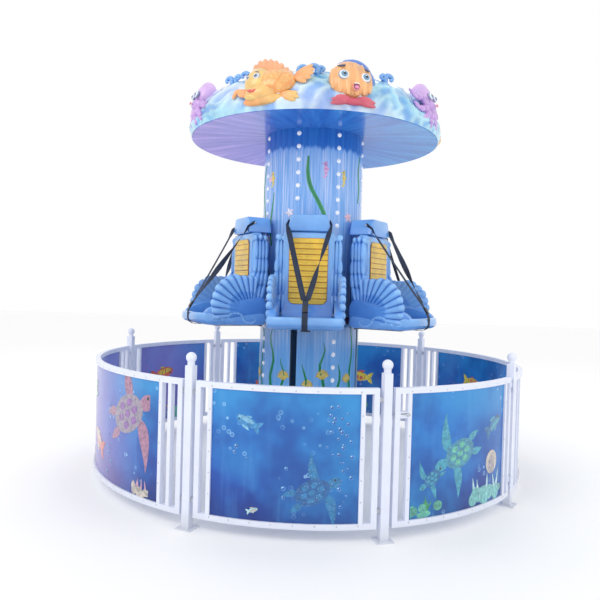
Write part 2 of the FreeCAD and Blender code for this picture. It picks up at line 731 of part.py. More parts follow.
def chain_bearings():
    """Pairs of bored plates for the shafts: two on the turntable, two under the drum floor."""
    plates = []
    ends = ((TABLE_LOW + TABLE_THICK, SPROCKET_LEVELS[0] + 30), (SPROCKET_LEVELS[1] - 30, FLOOR_LEVEL))
    for level, span in zip(SPROCKET_LEVELS, ends):
        for face in (-26, 18):
            plate = block((SPROCKET_REACH - 30, SPROCKET_REACH + 30), (face, face + 8), span)
            start, end = V(SPROCKET_REACH, face, level), V(SPROCKET_REACH, face + 8, level)
            plates.append(facing(plate.cut(rod(SHAFT_RADIUS + SHAFT_GAP, start, end)), CHAIN_BEARING))
    return plates


def lift_motor():
    """The motor on the outer face of the top bearing plate."""
    level = SPROCKET_LEVELS[1]
    return facing(rod(60, V(SPROCKET_REACH, 26, level), V(SPROCKET_REACH, 200, level)), CHAIN_BEARING)


# ---------------------------------------------------------------- seats
def seat():
    """A bucket seat: scooped pan, fluted back and scalloped side wings."""
    low, lip = SEAT_LOW, LIP_TOP
    pan = [(0, low), (SEAT_DEPTH - 90, low), (SEAT_DEPTH - 28, low + 22), (SEAT_DEPTH, low + 66)]
    pan += [(SEAT_DEPTH - 6, lip - 12), (SEAT_DEPTH - 35, lip), (SEAT_DEPTH - 70, lip - 14)]
    pan += [(SEAT_DEPTH - 130, lip - 34), (SEAT_DEPTH - 220, lip - 42), (310, lip - 34), (190, lip - 10), (0, lip)]
    back = [(0, lip - 40), (BACK_THICK + 30, lip - 10), (BACK_THICK, lip + 60), (BACK_THICK, BACK_TOP), (0, BACK_TOP)]
    wing = [(0, low + 28), (SEAT_DEPTH - 90, low + 28), (SEAT_DEPTH - 35, low + 68), (SEAT_DEPTH - 40, lip + 80)]
    wing += [(SEAT_DEPTH - 74, lip + 204), (SEAT_DEPTH - 120, lip + 270), (SEAT_DEPTH - 195, lip + 320)]
    wing += [(SEAT_DEPTH - 285, lip + 335), (290, lip + 365), (200, lip + 420), (110, lip + 520), (0, lip + 520)]
    pieces = [slab(pan, PAN_WIDTH), slab(back, BACK_WIDTH)]
    middle = (WING_INNER + WING_OUTER) / 2
    for side in (-1, 1):
        pieces.append(slab(wing, WING_OUTER - WING_INNER, side * middle))
        foot, top = V(80, side * FLUTE_OFFSET, lip - 30), V(80, side * FLUTE_OFFSET, FLUTE_TOP)
        pieces.append(rod(FLUTE_RADIUS, foot, top))
        pieces.append(Part.makeSphere(FLUTE_RADIUS - 5, top))
    return fused(pieces)


def headrest():
    """The tapered block on top of the back."""
    low, high = HEAD_LOW_WIDTH / 2, HEAD_TOP_WIDTH / 2
    points = [(-low, BACK_TOP), (low, BACK_TOP), (high, HEAD_TOP), (-high, HEAD_TOP)]
    corners = [V(-HEAD_BEHIND, y, z) for y, z in points]
    return Part.Face(Part.makePolygon(corners + corners[:1])).extrude(V(HEAD_REACH + HEAD_BEHIND, 0, 0))


def back_pad():
    """The ribbed insert's body on the front of the back."""
    half = PAD_WIDTH / 2
    pad = block((BACK_THICK, BACK_THICK + PAD_THICK), (-half, half), (PAD_LOW, PAD_HIGH))
    corners = [edge for edge in pad.Edges if abs(edge.tangentAt(edge.FirstParameter).x) > 0.99]
    return pad.makeFillet(PAD_CORNER, corners)


def strap(start, end, across):
    """A straight flat strap between two points, its width as near as can be to a direction."""
    along = (end - start).normalize()
    wide = (across - along * across.dot(along)).normalize() * (BELT_WIDTH / 2)
    thick = along.cross(wide).normalize() * (BELT_THICK / 2)
    corners = [start + wide + thick, start - wide + thick, start - wide - thick, start + wide - thick]
    return Part.Face(Part.makePolygon(corners + corners[:1])).extrude(end - start)


def lip_route():
    """The lip strap's corners, from the shoulder straps' joint down over the lip and back under the pan."""
    lowest = SEAT_LOW - BELT_THICK / 2 - BELT_GAP
    front = [V(SEAT_DEPTH - 68, 0, LIP_TOP + 144), V(SEAT_DEPTH + 7, 0, LIP_TOP + 20), V(SEAT_DEPTH + 10, 0, SEAT_LOW + 68)]
    return front + [V(SEAT_DEPTH - 18, 0, SEAT_LOW + 14), V(SEAT_DEPTH - 90, 0, lowest), V(SEAT_DEPTH - 238, 0, lowest)]


def belt():
    """Two shoulder straps to a joint, and one strap down over the seat's lip and under it."""
    slope = (HEAD_LOW_WIDTH - HEAD_TOP_WIDTH) / 2 / (HEAD_TOP - BACK_TOP)
    lift = (BELT_THICK / 2 + BELT_GAP) * math.sqrt(1 + slope ** 2)
    across = V(0, 1, 0)
    pieces = []
    for side in (-1, 1):
        y_high = side * (HEAD_LOW_WIDTH / 2 - 90 * slope + lift)
        y_low = side * (HEAD_LOW_WIDTH / 2 - 42 * slope + lift)
        anchor, corner = V(HEAD_REACH - 70, y_high, BACK_TOP + 90), V(HEAD_REACH + 8, y_low, BACK_TOP + 42)
        pieces.append(strap(anchor, corner, V(0.5, -side * slope, 1)))
        pieces.append(strap(corner, V(SEAT_DEPTH - 62, side * 12, LIP_TOP + 138), across))
    route = lip_route()
    pieces += [strap(a, b, across) for a, b in zip(route, route[1:])]
    return fused(pieces)


def buckle():
    """The push buckle on the outside of the lip strap."""
    start, end = lip_route()[:2]
    length, width, thick = BUCKLE
    along = (end - start).normalize()
    outward = V(-along.z, 0, along.x)
    base = start + along * 62 + outward * (BELT_THICK / 2)
    side = V(0, width / 2, 0)
    corners = [base - side, base + side, base + side + along * length, base - side + along * length]
    return Part.Face(Part.makePolygon(corners + corners[:1])).extrude(outward * thick)


def seat_bracket():
    """The plate between the carriage ring and a seat's back, with its arm under the pan."""
    plate = block((-6, 0), (-150, 150), (SEAT_LOW - 20, LIP_TOP + 420))
    lug = block((RING_INNER + 15 - SEAT_BACK, 0), (-60, 60), (ARM_LOW, ARM_HIGH))
    arm = block((0, SEAT_DEPTH - 240), (-40, 40), (SEAT_LOW - 20, SEAT_LOW))
    ring = rod(RING_OUTER, V(-SEAT_BACK, 0, ARM_LOW), V(-SEAT_BACK, 0, ARM_HIGH))
    return fused([plate, lug.cut(ring), arm])


def around(piece):
    """Six turned copies of a seat's piece, which is built outwards from the back's plane."""
    moved = piece.copy()
    moved.translate(V(SEAT_BACK, 0, 0))
    return [facing(moved, 360.0 / SEAT_COUNT * index) for index in range(SEAT_COUNT)]


def save_fence():
    """The ground's fence, and the gate with its bolt."""
    spans = list(zip(POST_BEARINGS, POST_BEARINGS[1:] + [POST_BEARINGS[0] + 360]))
    posts = [fence_post(bearing) for bearing in POST_BEARINGS]
    posts[1] = latch_post(posts[1])
    save("fence_posts", posts)
    save("post_caps", [post_cap(bearing) for bearing in POST_BEARINGS])
    fixed = [span for span in spans if span[0] != GATE_FROM]
    for number, span in enumerate(fixed, 1):
        save("fence_frame_" + str(number), panel_frame(*span))
    save("fence_boards", [panel_board(*span) for span in fixed])
    save("panel_brackets", [lug for span in fixed for lug in panel_brackets(*span)])
    save("hinge_posts", hinge_posts())
    save("latch_keeper", latch_keeper())
    save("gate_frame", gate_frame())
    save("gate_board", panel_board(GATE_FROM, GATE_TO))
    save("latch_case", latch_case())
    save("latch_bolt", latch_bolt())


def save_tower():
    """The base, the slewing drive and everything that turns."""
    save("base_plate", base_plate())
    save("base_drum", tube(DRUM_RADIUS, DRUM_RADIUS - DRUM_WALL, BASE_THICK, GEAR_LOW))
    save("ring_gear", ring_gear())
    save("pinion", pinion())
    save("turntable", turntable())
    save("bearing_ring", tube(BEARING_RADIUS, BEARING_RADIUS - BEARING_WALL, GEAR_LOW + 5, TABLE_LOW))
    save("spin_motor", spin_motor())
    ends = SLOT_BEARINGS[1:] + [SLOT_BEARINGS[0] + 360]
    for number, span in enumerate(zip(SLOT_BEARINGS, ends), 1):
        save("column_panel_" + str(number), column_panel(*span))
    save("slot_rails", slot_rails())
    save("mast", mast())
    save("drum_floor", drum_floor())
    save("upper_drum", tube(COLUMN_RADIUS, COLUMN_RADIUS - COLUMN_WALL, SLOT_TOP, COLUMN_TOP))
    save("lamps", lamps())
    save("canopy_underside", canopy_underside())
    save("canopy_band", canopy_band())
    save("canopy_crown", canopy_crown())
    save("canopy_frame", canopy_frame())
    save("canopy_fish", fish())
    save("canopy_round_fish", round_fish())
    save("canopy_octopus", octopus())


def save_lift():
    """The chain drive and the carriage with its seats."""
    save("chain_bearings", chain_bearings())
    save("lift_chain", lift_chain())
    save("lift_motor", lift_motor())
    save("sprocket_low", sprocket(SPROCKET_LEVELS[0]))
    save("sprocket_high", sprocket(SPROCKET_LEVELS[1]))
    save("carriage_hub", carriage_hub())
    save("carriage_frame", carriage_frame())
    for number, bearing in enumerate(SLOT_BEARINGS, 1):
        save("roller_" + str(number), facing(roller(), bearing))
    save("seat_brackets", around(seat_bracket()))
    for number, shape in enumerate(around(seat()), 1):
        save("seat_" + str(number), shape)
    save("headrests", around(headrest()))
    save("back_pads", around(back_pad()))
    save("belts", around(belt()))
    save("buckles", around(buckle()))


os.makedirs("parts", exist_ok=True)
save_fence()
save_tower()
save_lift()
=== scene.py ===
"""A six-seat rotating drop-seat ride inside a ring fence, finished over its fixed CAD frame."""
import bpy
import bmesh
import math
import random
from mathutils import Matrix, Vector, noise


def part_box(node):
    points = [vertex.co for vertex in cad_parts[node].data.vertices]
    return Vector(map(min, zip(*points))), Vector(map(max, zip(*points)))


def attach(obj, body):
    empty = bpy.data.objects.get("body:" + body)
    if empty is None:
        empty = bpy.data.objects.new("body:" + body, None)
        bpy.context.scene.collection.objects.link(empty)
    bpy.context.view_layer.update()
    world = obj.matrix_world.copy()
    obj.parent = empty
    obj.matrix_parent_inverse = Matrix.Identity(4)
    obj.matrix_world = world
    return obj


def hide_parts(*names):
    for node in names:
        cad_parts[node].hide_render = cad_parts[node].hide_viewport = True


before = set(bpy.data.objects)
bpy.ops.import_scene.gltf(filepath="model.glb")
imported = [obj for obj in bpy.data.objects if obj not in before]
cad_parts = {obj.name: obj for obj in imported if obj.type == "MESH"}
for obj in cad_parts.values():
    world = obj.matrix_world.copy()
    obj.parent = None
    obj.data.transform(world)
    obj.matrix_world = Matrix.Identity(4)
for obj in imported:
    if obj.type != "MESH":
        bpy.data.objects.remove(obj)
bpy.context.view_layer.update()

# ---------------------------------------------------------------- room
# The ride stands on a pale studio floor under soft, even light.
# The camera is at a standing adult's eye height in front of the fence.
EYE_DISTANCE = 6.02
EYE_HEIGHT = 1.69
EYE_BEARING = math.radians(1.7)
EYE_TURN = math.radians(0.94)
EYE_TILT = math.radians(-0.81)
EYE_ROLL = math.radians(1.63)

eye = bpy.data.cameras.new("eye")
eye.lens = 36
eye.sensor_width = 36
camera = bpy.data.objects.new("eye", eye)
bpy.context.scene.collection.objects.link(camera)
eye_place = Vector((math.sin(EYE_BEARING), -math.cos(EYE_BEARING), 0)) * EYE_DISTANCE
eye_aim = Matrix.Rotation(EYE_BEARING + EYE_TURN, 4, "Z") @ Matrix.Rotation(math.pi / 2 + EYE_TILT, 4, "X")
camera.matrix_world = Matrix.Translation(eye_place + Vector((0, 0, EYE_HEIGHT))) @ eye_aim \
    @ Matrix.Rotation(EYE_ROLL, 4, "Z")
bpy.context.scene.camera = camera

bpy.ops.object.select_all(action="DESELECT")
bpy.ops.mesh.primitive_plane_add(size=60, location=(0, 0, 0))
floor = bpy.context.object
floor.name = "studio_floor"
floor_paint = bpy.data.materials.new("pale_floor")
floor_paint.use_nodes = True
floor_paint.node_tree.nodes["Principled BSDF"].inputs["Base Color"].default_value = (0.97, 0.97, 0.97, 1)
floor_paint.node_tree.nodes["Principled BSDF"].inputs["Roughness"].default_value = 0.7
floor.data.materials.append(floor_paint)

sky = bpy.data.worlds.new("studio")
sky.use_nodes = True
sky.node_tree.nodes["Background"].inputs["Color"].default_value = (1.0, 1.0, 1.0, 1)
sky.node_tree.nodes["Background"].inputs["Strength"].default_value = 1.0
bpy.context.scene.world = sky
bpy.context.scene.view_settings.view_transform = "Standard"
STUDIO_LIGHTS = [("key", (-4.5, -6.0, 6.5), 4.0, 110), ("fill", (5.5, -5.0, 3.5), 4.0, 30),
                 ("back", (0, 6.5, 6.5), 5.0, 90)]
for lamp_name, place, size, power in STUDIO_LIGHTS:
    light = bpy.data.lights.new(lamp_name, "AREA")
    light.size = size
    light.energy = power
    lamp = bpy.data.objects.new(lamp_name, light)
    bpy.context.scene.collection.objects.link(lamp)
    lamp.location = place
    lamp.rotation_euler = (Vector((0, 0, 1.6)) - Vector(place)).to_track_quat("-Z", "Y").to_euler()


# ---------------------------------------------------------------- fence steelwork
# Square tube posts, curved panel frames and ball caps, all powder coated white with a faint
# blue cast. The coat has a fine orange peel and gathers dust near the floor.
def start_finish(name, roughness, metallic=0.0, coat=0.0):
    """A new material with its shader, and its node tree to add to."""
    finish = bpy.data.materials.new(name)
    finish.use_nodes = True
    shader = finish.node_tree.nodes["Principled BSDF"]
    shader.inputs["Roughness"].default_value = roughness
    shader.inputs["Metallic"].default_value = metallic
    shader.inputs["Coat Weight"].default_value = coat
    shader.inputs["Coat Roughness"].default_value = 0.08
    return finish, finish.node_tree, shader


def add_node(tree, kind, **settings):
    """A node with its attributes and input defaults set; input names end in an underscore."""
    node = tree.nodes.new(kind)
    for key, value in settings.items():
        if key.endswith("_"):
            node.inputs[key[:-1].replace("_", " ").title()].default_value = value
        else:
            setattr(node, key, value)
    return node


def add_ramp(tree, source, stops):
    """A colour ramp fed by a socket, from stops of a position and a colour or grey level."""
    ramp = tree.nodes.new("ShaderNodeValToRGB")
    while len(ramp.color_ramp.elements) < len(stops):
        ramp.color_ramp.elements.new(0.5)
    for element, (place, colour) in zip(ramp.color_ramp.elements, stops):
        element.position = place
        element.color = (*(colour if isinstance(colour, tuple) else (colour,) * 3), 1)
    tree.links.new(source, ramp.inputs["Fac"])
    return ramp.outputs["Color"]


def add_object_point(tree, scale=(1, 1, 1), spin=0.0):
    """The piece's own coordinates, stretched and turned about Z."""
    place = tree.nodes.new("ShaderNodeTexCoord")
    mapping = tree.nodes.new("ShaderNodeMapping")
    mapping.inputs["Scale"].default_value = scale
    mapping.inputs["Rotation"].default_value = (0, 0, spin)
    tree.links.new(place.outputs["Object"], mapping.inputs["Vector"])
    return mapping.outputs["Vector"]


def split(tree, point):
    """The X, Y and Z of a point."""
    parts = tree.nodes.new("ShaderNodeSeparateXYZ")
    tree.links.new(point, parts.inputs[0])
    return parts.outputs


def add_noise(tree, point, scale, detail=3.0, roughness=0.55):
    """A noise value on a point."""
    noise = add_node(tree, "ShaderNodeTexNoise", Scale_=scale, Detail_=detail, Roughness_=roughness)
    tree.links.new(point, noise.inputs["Vector"])
    return noise.outputs["Fac"]


def add_mix(tree, factor, first, second, blend="MIX"):
    """A colour mix; each argument is a socket or a constant."""
    mix = tree.nodes.new("ShaderNodeMix")
    mix.data_type = "RGBA"
    mix.blend_type = blend
    for slot, value in ((0, factor), (6, first), (7, second)):
        if isinstance(value, bpy.types.NodeSocket):
            tree.links.new(value, mix.inputs[slot])
        else:
            mix.inputs[slot].default_value = value if slot == 0 else (*value, 1)
    return mix.outputs[2]


def add_bump(tree, shader, height, strength, distance):
    """Surface relief from a height value."""
    bump = add_node(tree, "ShaderNodeBump", Strength_=strength, Distance_=distance)
    tree.links.new(height, bump.inputs["Height"])
    tree.links.new(bump.outputs["Normal"], shader.inputs["Normal"])


def end_finish(tree, shader, tone, height, strength, distance):
    """Link the base colour and the surface relief."""
    tree.links.new(tone, shader.inputs["Base Color"])
    add_bump(tree, shader, height, strength, distance)


def make_painted(name, colour, grime, roughness=0.35, speck=350.0, relief=0.15):
    """Sprayed or powder coated paint: cloudy tone, fine peel and dust that gathers low down."""
    finish, tree, shader = start_finish(name, roughness, coat=0.25)
    point = add_object_point(tree)
    cloud = add_ramp(tree, add_noise(tree, point, 4.0), [(0.35, 0), (0.75, 1)])
    tone = add_mix(tree, cloud, colour, tuple(0.94 * part for part in colour))
    dust = add_ramp(tree, split(tree, point)["Z"], [(0.0, 0.5), (0.16, 0)])
    rough = add_ramp(tree, add_noise(tree, point, 9.0), [(0.3, roughness - 0.07), (0.8, roughness + 0.1)])
    tree.links.new(rough, shader.inputs["Roughness"])
    tone = add_mix(tree, dust, tone, grime)
    end_finish(tree, shader, tone, add_noise(tree, point, speck, 2.0), relief, 0.001)
    return finish


def dress(node_names, finish):
    """Give CAD nodes their finish."""
    for node_name in node_names:
        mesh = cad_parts[node_name].data
        mesh.materials.clear()
        mesh.materials.append(finish)


white_coat = make_painted("white_powder_coat", (0.78, 0.82, 0.95), (0.55, 0.56, 0.6))
fence_frames = ["fence_frame_" + str(number) for number in range(1, 6)]
dress(fence_frames + ["fence_posts", "post_caps", "gate_frame", "hinge_posts", "latch_case"], white_coat)


# ---------------------------------------------------------------- zinc fixings
# Brackets, bolts, the latch bolt and its keeper are zinc plated steel, and pan-head screws
# hold each picture board to its frame every 0.14 m.
def make_steel(name, colour, roughness, grain):
    """Bare or plated steel with a fine drawn grain and duller patches."""
    finish, tree, shader = start_finish(name, roughness, metallic=1.0)
    point = add_object_point(tree, scale=(1, 1, grain))
    patch = add_noise(tree, point, 30.0)
    tone = add_ramp(tree, patch, [(0.3, tuple(0.75 * part for part in colour)), (0.7, colour)])
    rough = add_ramp(tree, patch, [(0.3, roughness + 0.15), (0.7, roughness)])
    tree.links.new(rough, shader.inputs["Roughness"])
    end_finish(tree, shader, tone, add_noise(tree, point, 240.0), 0.12, 0.0006)
    return finish


zinc = make_steel("zinc_plate", (0.62, 0.64, 0.68), 0.32, 1.0)
dress(["panel_brackets", "latch_keeper", "latch_bolt"], zinc)

FENCE_RADIUS = 2.0
FRAME_HALF = 0.02
POST_BEARINGS = [-22.5, 17.5, 57.5, 137.5, 217.5, 257.5]
BOARD_LOW, BOARD_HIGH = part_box("gate_board")[0].z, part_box("gate_board")[1].z
SPAN_INSET = math.degrees((0.030 + 0.026 + 0.040) / FENCE_RADIUS)
SLIT_INSET = math.degrees((0.058 + 0.030) / FENCE_RADIUS)


def at(radius, bearing, z=0.0):
    """A place by radius and bearing, which is 0 at the front and 90 at +X."""
    angle = math.radians(bearing)
    return Vector((radius * math.sin(angle), -radius * math.cos(angle), z))


def board_span(start, end):
    """The bearings between which a panel's picture board lies."""
    inset = SPAN_INSET + SLIT_INSET * (1 if end - start < 60 else 2)
    return start + inset, end - inset


def facing(bearing):
    """The turn that takes a piece built towards +X to a bearing."""
    return Matrix.Rotation(math.radians(bearing - 90), 4, "Z")


def pick(*pieces):
    """Select these pieces only, the first of them active."""
    bpy.ops.object.select_all(action="DESELECT")
    for piece in pieces:
        piece.select_set(True)
    bpy.context.view_layer.objects.active = pieces[0]


def merge(parts, name):
    """Join several parts as one named piece."""
    pick(*parts)
    if len(parts) > 1:
        bpy.ops.object.join()
    parts[0].name = name
    return parts[0]


def join_copies(source, places, name):
    """Copies of a mesh at several places, joined as one object; the source is removed."""
    copies = []
    for place in places:
        copy = source.copy()
        copy.data = source.data.copy()
        copy.data.transform(place)
        bpy.context.scene.collection.objects.link(copy)
        copies.append(copy)
    bpy.data.objects.remove(source)
    return merge(copies, name)


def settle(piece, body, finish, smooth=40):
    """Apply the piece's place, give it its finish and let it ride on a body."""
    pick(piece)
    bpy.ops.object.transform_apply(location=True, rotation=True, scale=True)
    if smooth:
        bpy.ops.object.shade_smooth_by_angle(angle=math.radians(smooth))
    if finish:
        piece.data.materials.clear()
        piece.data.materials.append(finish)
    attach(piece, body)
    return piece


def new_sphere(segments, rings, radius=1):
    """A sphere, alone in the selection."""
    bpy.ops.object.select_all(action="DESELECT")
    bpy.ops.mesh.primitive_uv_sphere_add(segments=segments, ring_count=rings, radius=radius)
    return bpy.context.object


def board_screws(spans, name, body):
    """Domed screw heads round each board, on both faces of its frame."""
    head = new_sphere(8, 6, 0.0055)
    head.data.transform(Matrix.Diagonal((0.45, 1, 1, 1)))
    places = []
    for start, end in spans:
        low, high = board_span(start, end)
        margin = math.degrees(0.012 / FENCE_RADIUS)
        steps = max(2, round(math.radians(high - low) * FENCE_RADIUS / 0.14))
        rim = [(low + (high - low) * step / steps, level) for step in range(steps + 1)
               for level in (BOARD_LOW - 0.014, BOARD_HIGH + 0.014)]
        rim += [(bearing, BOARD_LOW + (BOARD_HIGH - BOARD_LOW) * step / 6) for step in range(1, 6)
                for bearing in (low - margin, high + margin)]
        for bearing, level in rim:
            for radius in (FENCE_RADIUS - FRAME_HALF, FENCE_RADIUS + FRAME_HALF):
                places.append(facing(bearing) @ Matrix.Translation((radius, 0, level)))
    return settle(join_copies(head, places, name), body, zinc, 60)


panel_spans = list(zip(POST_BEARINGS, POST_BEARINGS[1:] + [POST_BEARINGS[0] + 360]))
gate_span = panel_spans.pop(1)
board_screws(panel_spans, "board_screws", "ground")
board_screws([gate_span], "gate_screws", "gate")


# ---------------------------------------------------------------- picture boards
# Thin curved boards printed on both faces with an under-water view: light falling through
# blue water, strings of bubbles, turtles, rays, fish and coral. The print is glossy.
def add_range(tree, source, low, high, start=0.0, end=1.0):
    """A value carried from one range to another and held at its ends."""
    span = add_node(tree, "ShaderNodeMapRange", From_Min_=low, From_Max_=high, To_Min_=start, To_Max_=end)
    tree.links.new(source, span.inputs["Value"])
    return span.outputs[0]


def add_cells(tree, point, scale):
    """The distance from the nearest of many scattered points."""
    cells = add_node(tree, "ShaderNodeTexVoronoi", Scale_=scale)
    tree.links.new(point, cells.inputs["Vector"])
    return cells.outputs["Distance"]


def make_water_print():
    """Blue water that darkens downwards, with slanting light and rings of bubbles."""
    finish, tree, shader = start_finish("water_print", 0.24, coat=0.2)
    point = add_object_point(tree)
    parts = split(tree, point)
    depth = add_ramp(tree, parts["Z"], [
        (0.12, (0.002, 0.04, 0.27)), (0.4, (0.003, 0.08, 0.44)), (0.75, (0.006, 0.15, 0.56)),
        (1.0, (0.025, 0.27, 0.68))])
    haze = add_ramp(tree, add_noise(tree, point, 1.3, 4.0), [(0.42, 0), (0.75, 0.75)])
    water = add_mix(tree, haze, depth, (0.03, 0.3, 0.62))
    beam_point = add_object_point(tree, scale=(7, 7, 0.9), spin=0.5)
    beams = add_ramp(tree, add_noise(tree, beam_point, 1.6, 2.0), [(0.55, 0), (0.8, 0.22)])
    water = add_mix(tree, beams, water, (0.12, 0.42, 0.8))
    gloom = add_ramp(tree, add_noise(tree, point, 2.6, 3.0), [(0.34, (0.5, 0.6, 0.72)), (0.55, 1.0)])
    water = add_mix(tree, 1.0, water, gloom, "MULTIPLY")
    dusk = add_range(tree, parts["X"], -1.15, -1.75, 0.0, 0.62)
    water = add_mix(tree, dusk, water, (0.36, 0.26, 0.66))
    ring = add_ramp(tree, add_cells(tree, point, 15.0), [
        (0.0, 0.12), (0.17, 0.2), (0.215, 1), (0.245, 0.1),
        (0.27, 0)])
    crowd = add_ramp(tree, add_noise(tree, point, 2.3, 1.0), [(0.54, 0), (0.62, 0.85)])
    bubbles = add_mix(tree, 1.0, ring, crowd, "MULTIPLY")
    picture = add_mix(tree, bubbles, water, (0.35, 0.68, 0.95))
    end_finish(tree, shader, picture, add_noise(tree, point, 6.0), 0.05, 0.002)
    return finish


def make_creature_print():
    """Printed creatures: each shape's own colour, broken by water-colour mottling and light spots."""
    finish, tree, shader = start_finish("creature_print", 0.22, coat=0.6)
    point = add_object_point(tree)
    paint = add_node(tree, "ShaderNodeAttribute", attribute_name="paint")
    mottle = add_ramp(tree, add_noise(tree, point, 38.0, 4.0),
                      [(0.35, (0.6, 0.64, 0.7)), (0.7, (1.2, 1.18, 1.15))])
    tone = add_mix(tree, 1.0, paint.outputs["Color"], mottle, "MULTIPLY")
    light = add_ramp(tree, add_cells(tree, point, 60.0), [(0.1, 0.2), (0.3, 0)])
    tone = add_mix(tree, light, tone, (0.75, 0.9, 0.95))
    end_finish(tree, shader, tone, add_noise(tree, point, 60.0), 0.05, 0.0005)
    return finish


water_print = make_water_print()
creature_print = make_creature_print()
dress(["fence_boards", "gate_board"], water_print)

TEAL = (0.05, 0.36, 0.5)
TEAL_DARK = (0.02, 0.17, 0.38)
SEA_GREEN = (0.12, 0.5, 0.38)
FOAM = (0.5, 0.78, 0.85)
ROSE = (0.62, 0.36, 0.5)
SAND = (0.62, 0.55, 0.48)
PLUM = (0.3, 0.14, 0.42)
CORAL_RED = (0.75, 0.13, 0.08)
SUN = (0.85, 0.68, 0.06)
WEED = (0.05, 0.33, 0.12)
PRINT_STEP = 0.0003


def turned(x, y, turn, u, v):
    """The place that lies at (u, v) from a place, in a turned frame."""
    c, s = math.cos(math.radians(turn)), math.sin(math.radians(turn))
    return x + u * c - v * s, y + u * s + v * c


def oval(x, y, long_radius, short_radius, turn=0.0, count=26):
    """Points round a turned ellipse."""
    angles = [2 * math.pi * index / count for index in range(count)]
    return [turned(x, y, turn, long_radius * math.cos(a), short_radius * math.sin(a)) for a in angles]


def flipper(x, y, length, width, turn, bend=0.3, count=12):
    """Points round a curved, pointed paddle that leaves a place in a direction."""
    edge = []
    for side in (1, -1):
        steps = range(count + 1) if side == 1 else range(count - 1, 0, -1)
        for step in steps:
            t = step / count
            u = length * t
            v = bend * length * t * t + side * width * (math.sin(math.pi * t ** 0.7) + 0.12 * (1 - t))
            edge.append(turned(x, y, turn, u, v))
    return edge


def turtle(x, y, size, turn, skin, shell, spot):
    """A swimming turtle from a little above."""
    def local(along, across):
        return turned(x, y, turn, size * along, size * across)
    limbs = [(0.25, 0.2, 0.75, 0.13, 105, -0.5), (0.3, -0.2, 0.85, 0.14, -75, -0.5),
             (-0.4, 0.15, 0.4, 0.09, 150, 0.3), (-0.4, -0.15, 0.4, 0.09, -150, -0.3)]
    shapes = [(flipper(*local(along, across), size * length, size * width, turn + heading, bend), skin)
              for along, across, length, width, heading, bend in limbs]
    shapes.append((oval(*local(0.64, 0), size * 0.2, size * 0.14, turn), skin))
    shapes.append((oval(x, y, size * 0.5, size * 0.34, turn), shell))
    spots = ((-0.24, 0.0), (0.0, 0.0), (0.24, 0.0), (-0.12, 0.18), (0.14, 0.17), (-0.12, -0.18),
             (0.14, -0.17))
    for along, across in spots:
        shapes.append((oval(*local(along, across), size * 0.1, size * 0.075, turn, 8), spot))
    return shapes + [(oval(*local(0.7, 0.06), size * 0.03, size * 0.03, 0, 10), (0.01, 0.02, 0.04))]


def swimmer(x, y, size, turn, skin, belly):
    """A fish: tail, fins, body, belly band and eye."""
    def local(along, across):
        return turned(x, y, turn, size * along, size * across)
    return [
        (flipper(*local(-0.42, 0.0), size * 0.4, size * 0.1, turn + 145, -0.2), skin),
        (flipper(*local(-0.42, 0.0), size * 0.4, size * 0.1, turn - 145, 0.2), skin),
        (flipper(*local(0.12, 0.1), size * 0.42, size * 0.1, turn + 135, 0.3), belly),
        (flipper(*local(0.08, -0.1), size * 0.28, size * 0.07, turn - 125, -0.3), belly),
        (oval(x, y, size * 0.5, size * 0.21, turn), skin),
        (oval(*local(0.05, -0.06), size * 0.38, size * 0.1, turn), belly),
        (oval(*local(0.34, 0.06), size * 0.04, size * 0.04, 0, 10), (0.01, 0.02, 0.04))]


def coral_clump(x, y, size, colour, tip, seed):
    """A heap of rounded coral heads with a few branching fingers."""
    chance = random.Random(seed)
    shapes = [(flipper(x + size * chance.uniform(-0.8, 0.8), y, size * chance.uniform(0.5, 1.0),
                       size * 0.06, 90 + chance.uniform(-35, 35), chance.uniform(-0.3, 0.3)), tip)
              for _ in range(6)]
    for _ in range(11):
        place = (x + size * chance.uniform(-0.9, 0.9), y + size * chance.uniform(0.0, 0.35))
        shade = chance.uniform(0.7, 1.25)
        wide, high = size * chance.uniform(0.16, 0.32), size * chance.uniform(0.12, 0.24)
        shapes.append((oval(*place, wide, high, 0, 18), tuple(shade * part for part in colour)))
    return shapes


def bubble_string(x, y, height, seed):
    """A rising string of small pale bubbles, each a ring with a glint."""
    chance = random.Random(seed)
    shapes = []
    level = y
    while level < y + height:
        size = chance.uniform(0.006, 0.017)
        side = x + chance.uniform(-0.05, 0.05)
        shapes.append((oval(side, level, size, size, 0, 12), (0.1, 0.38, 0.75)))
        shapes.append((oval(side, level, size * 0.8, size * 0.8, 0, 12), (0.01, 0.12, 0.5)))
        shapes.append((oval(side - size * 0.3, level + size * 0.35, size * 0.35, size * 0.25, 0, 8), FOAM))
        level += chance.uniform(0.03, 0.07)
    return shapes


def disc(x, y, wide, high, colour):
    """A plain round shape."""
    return [(oval(x, y, wide, high), colour)]


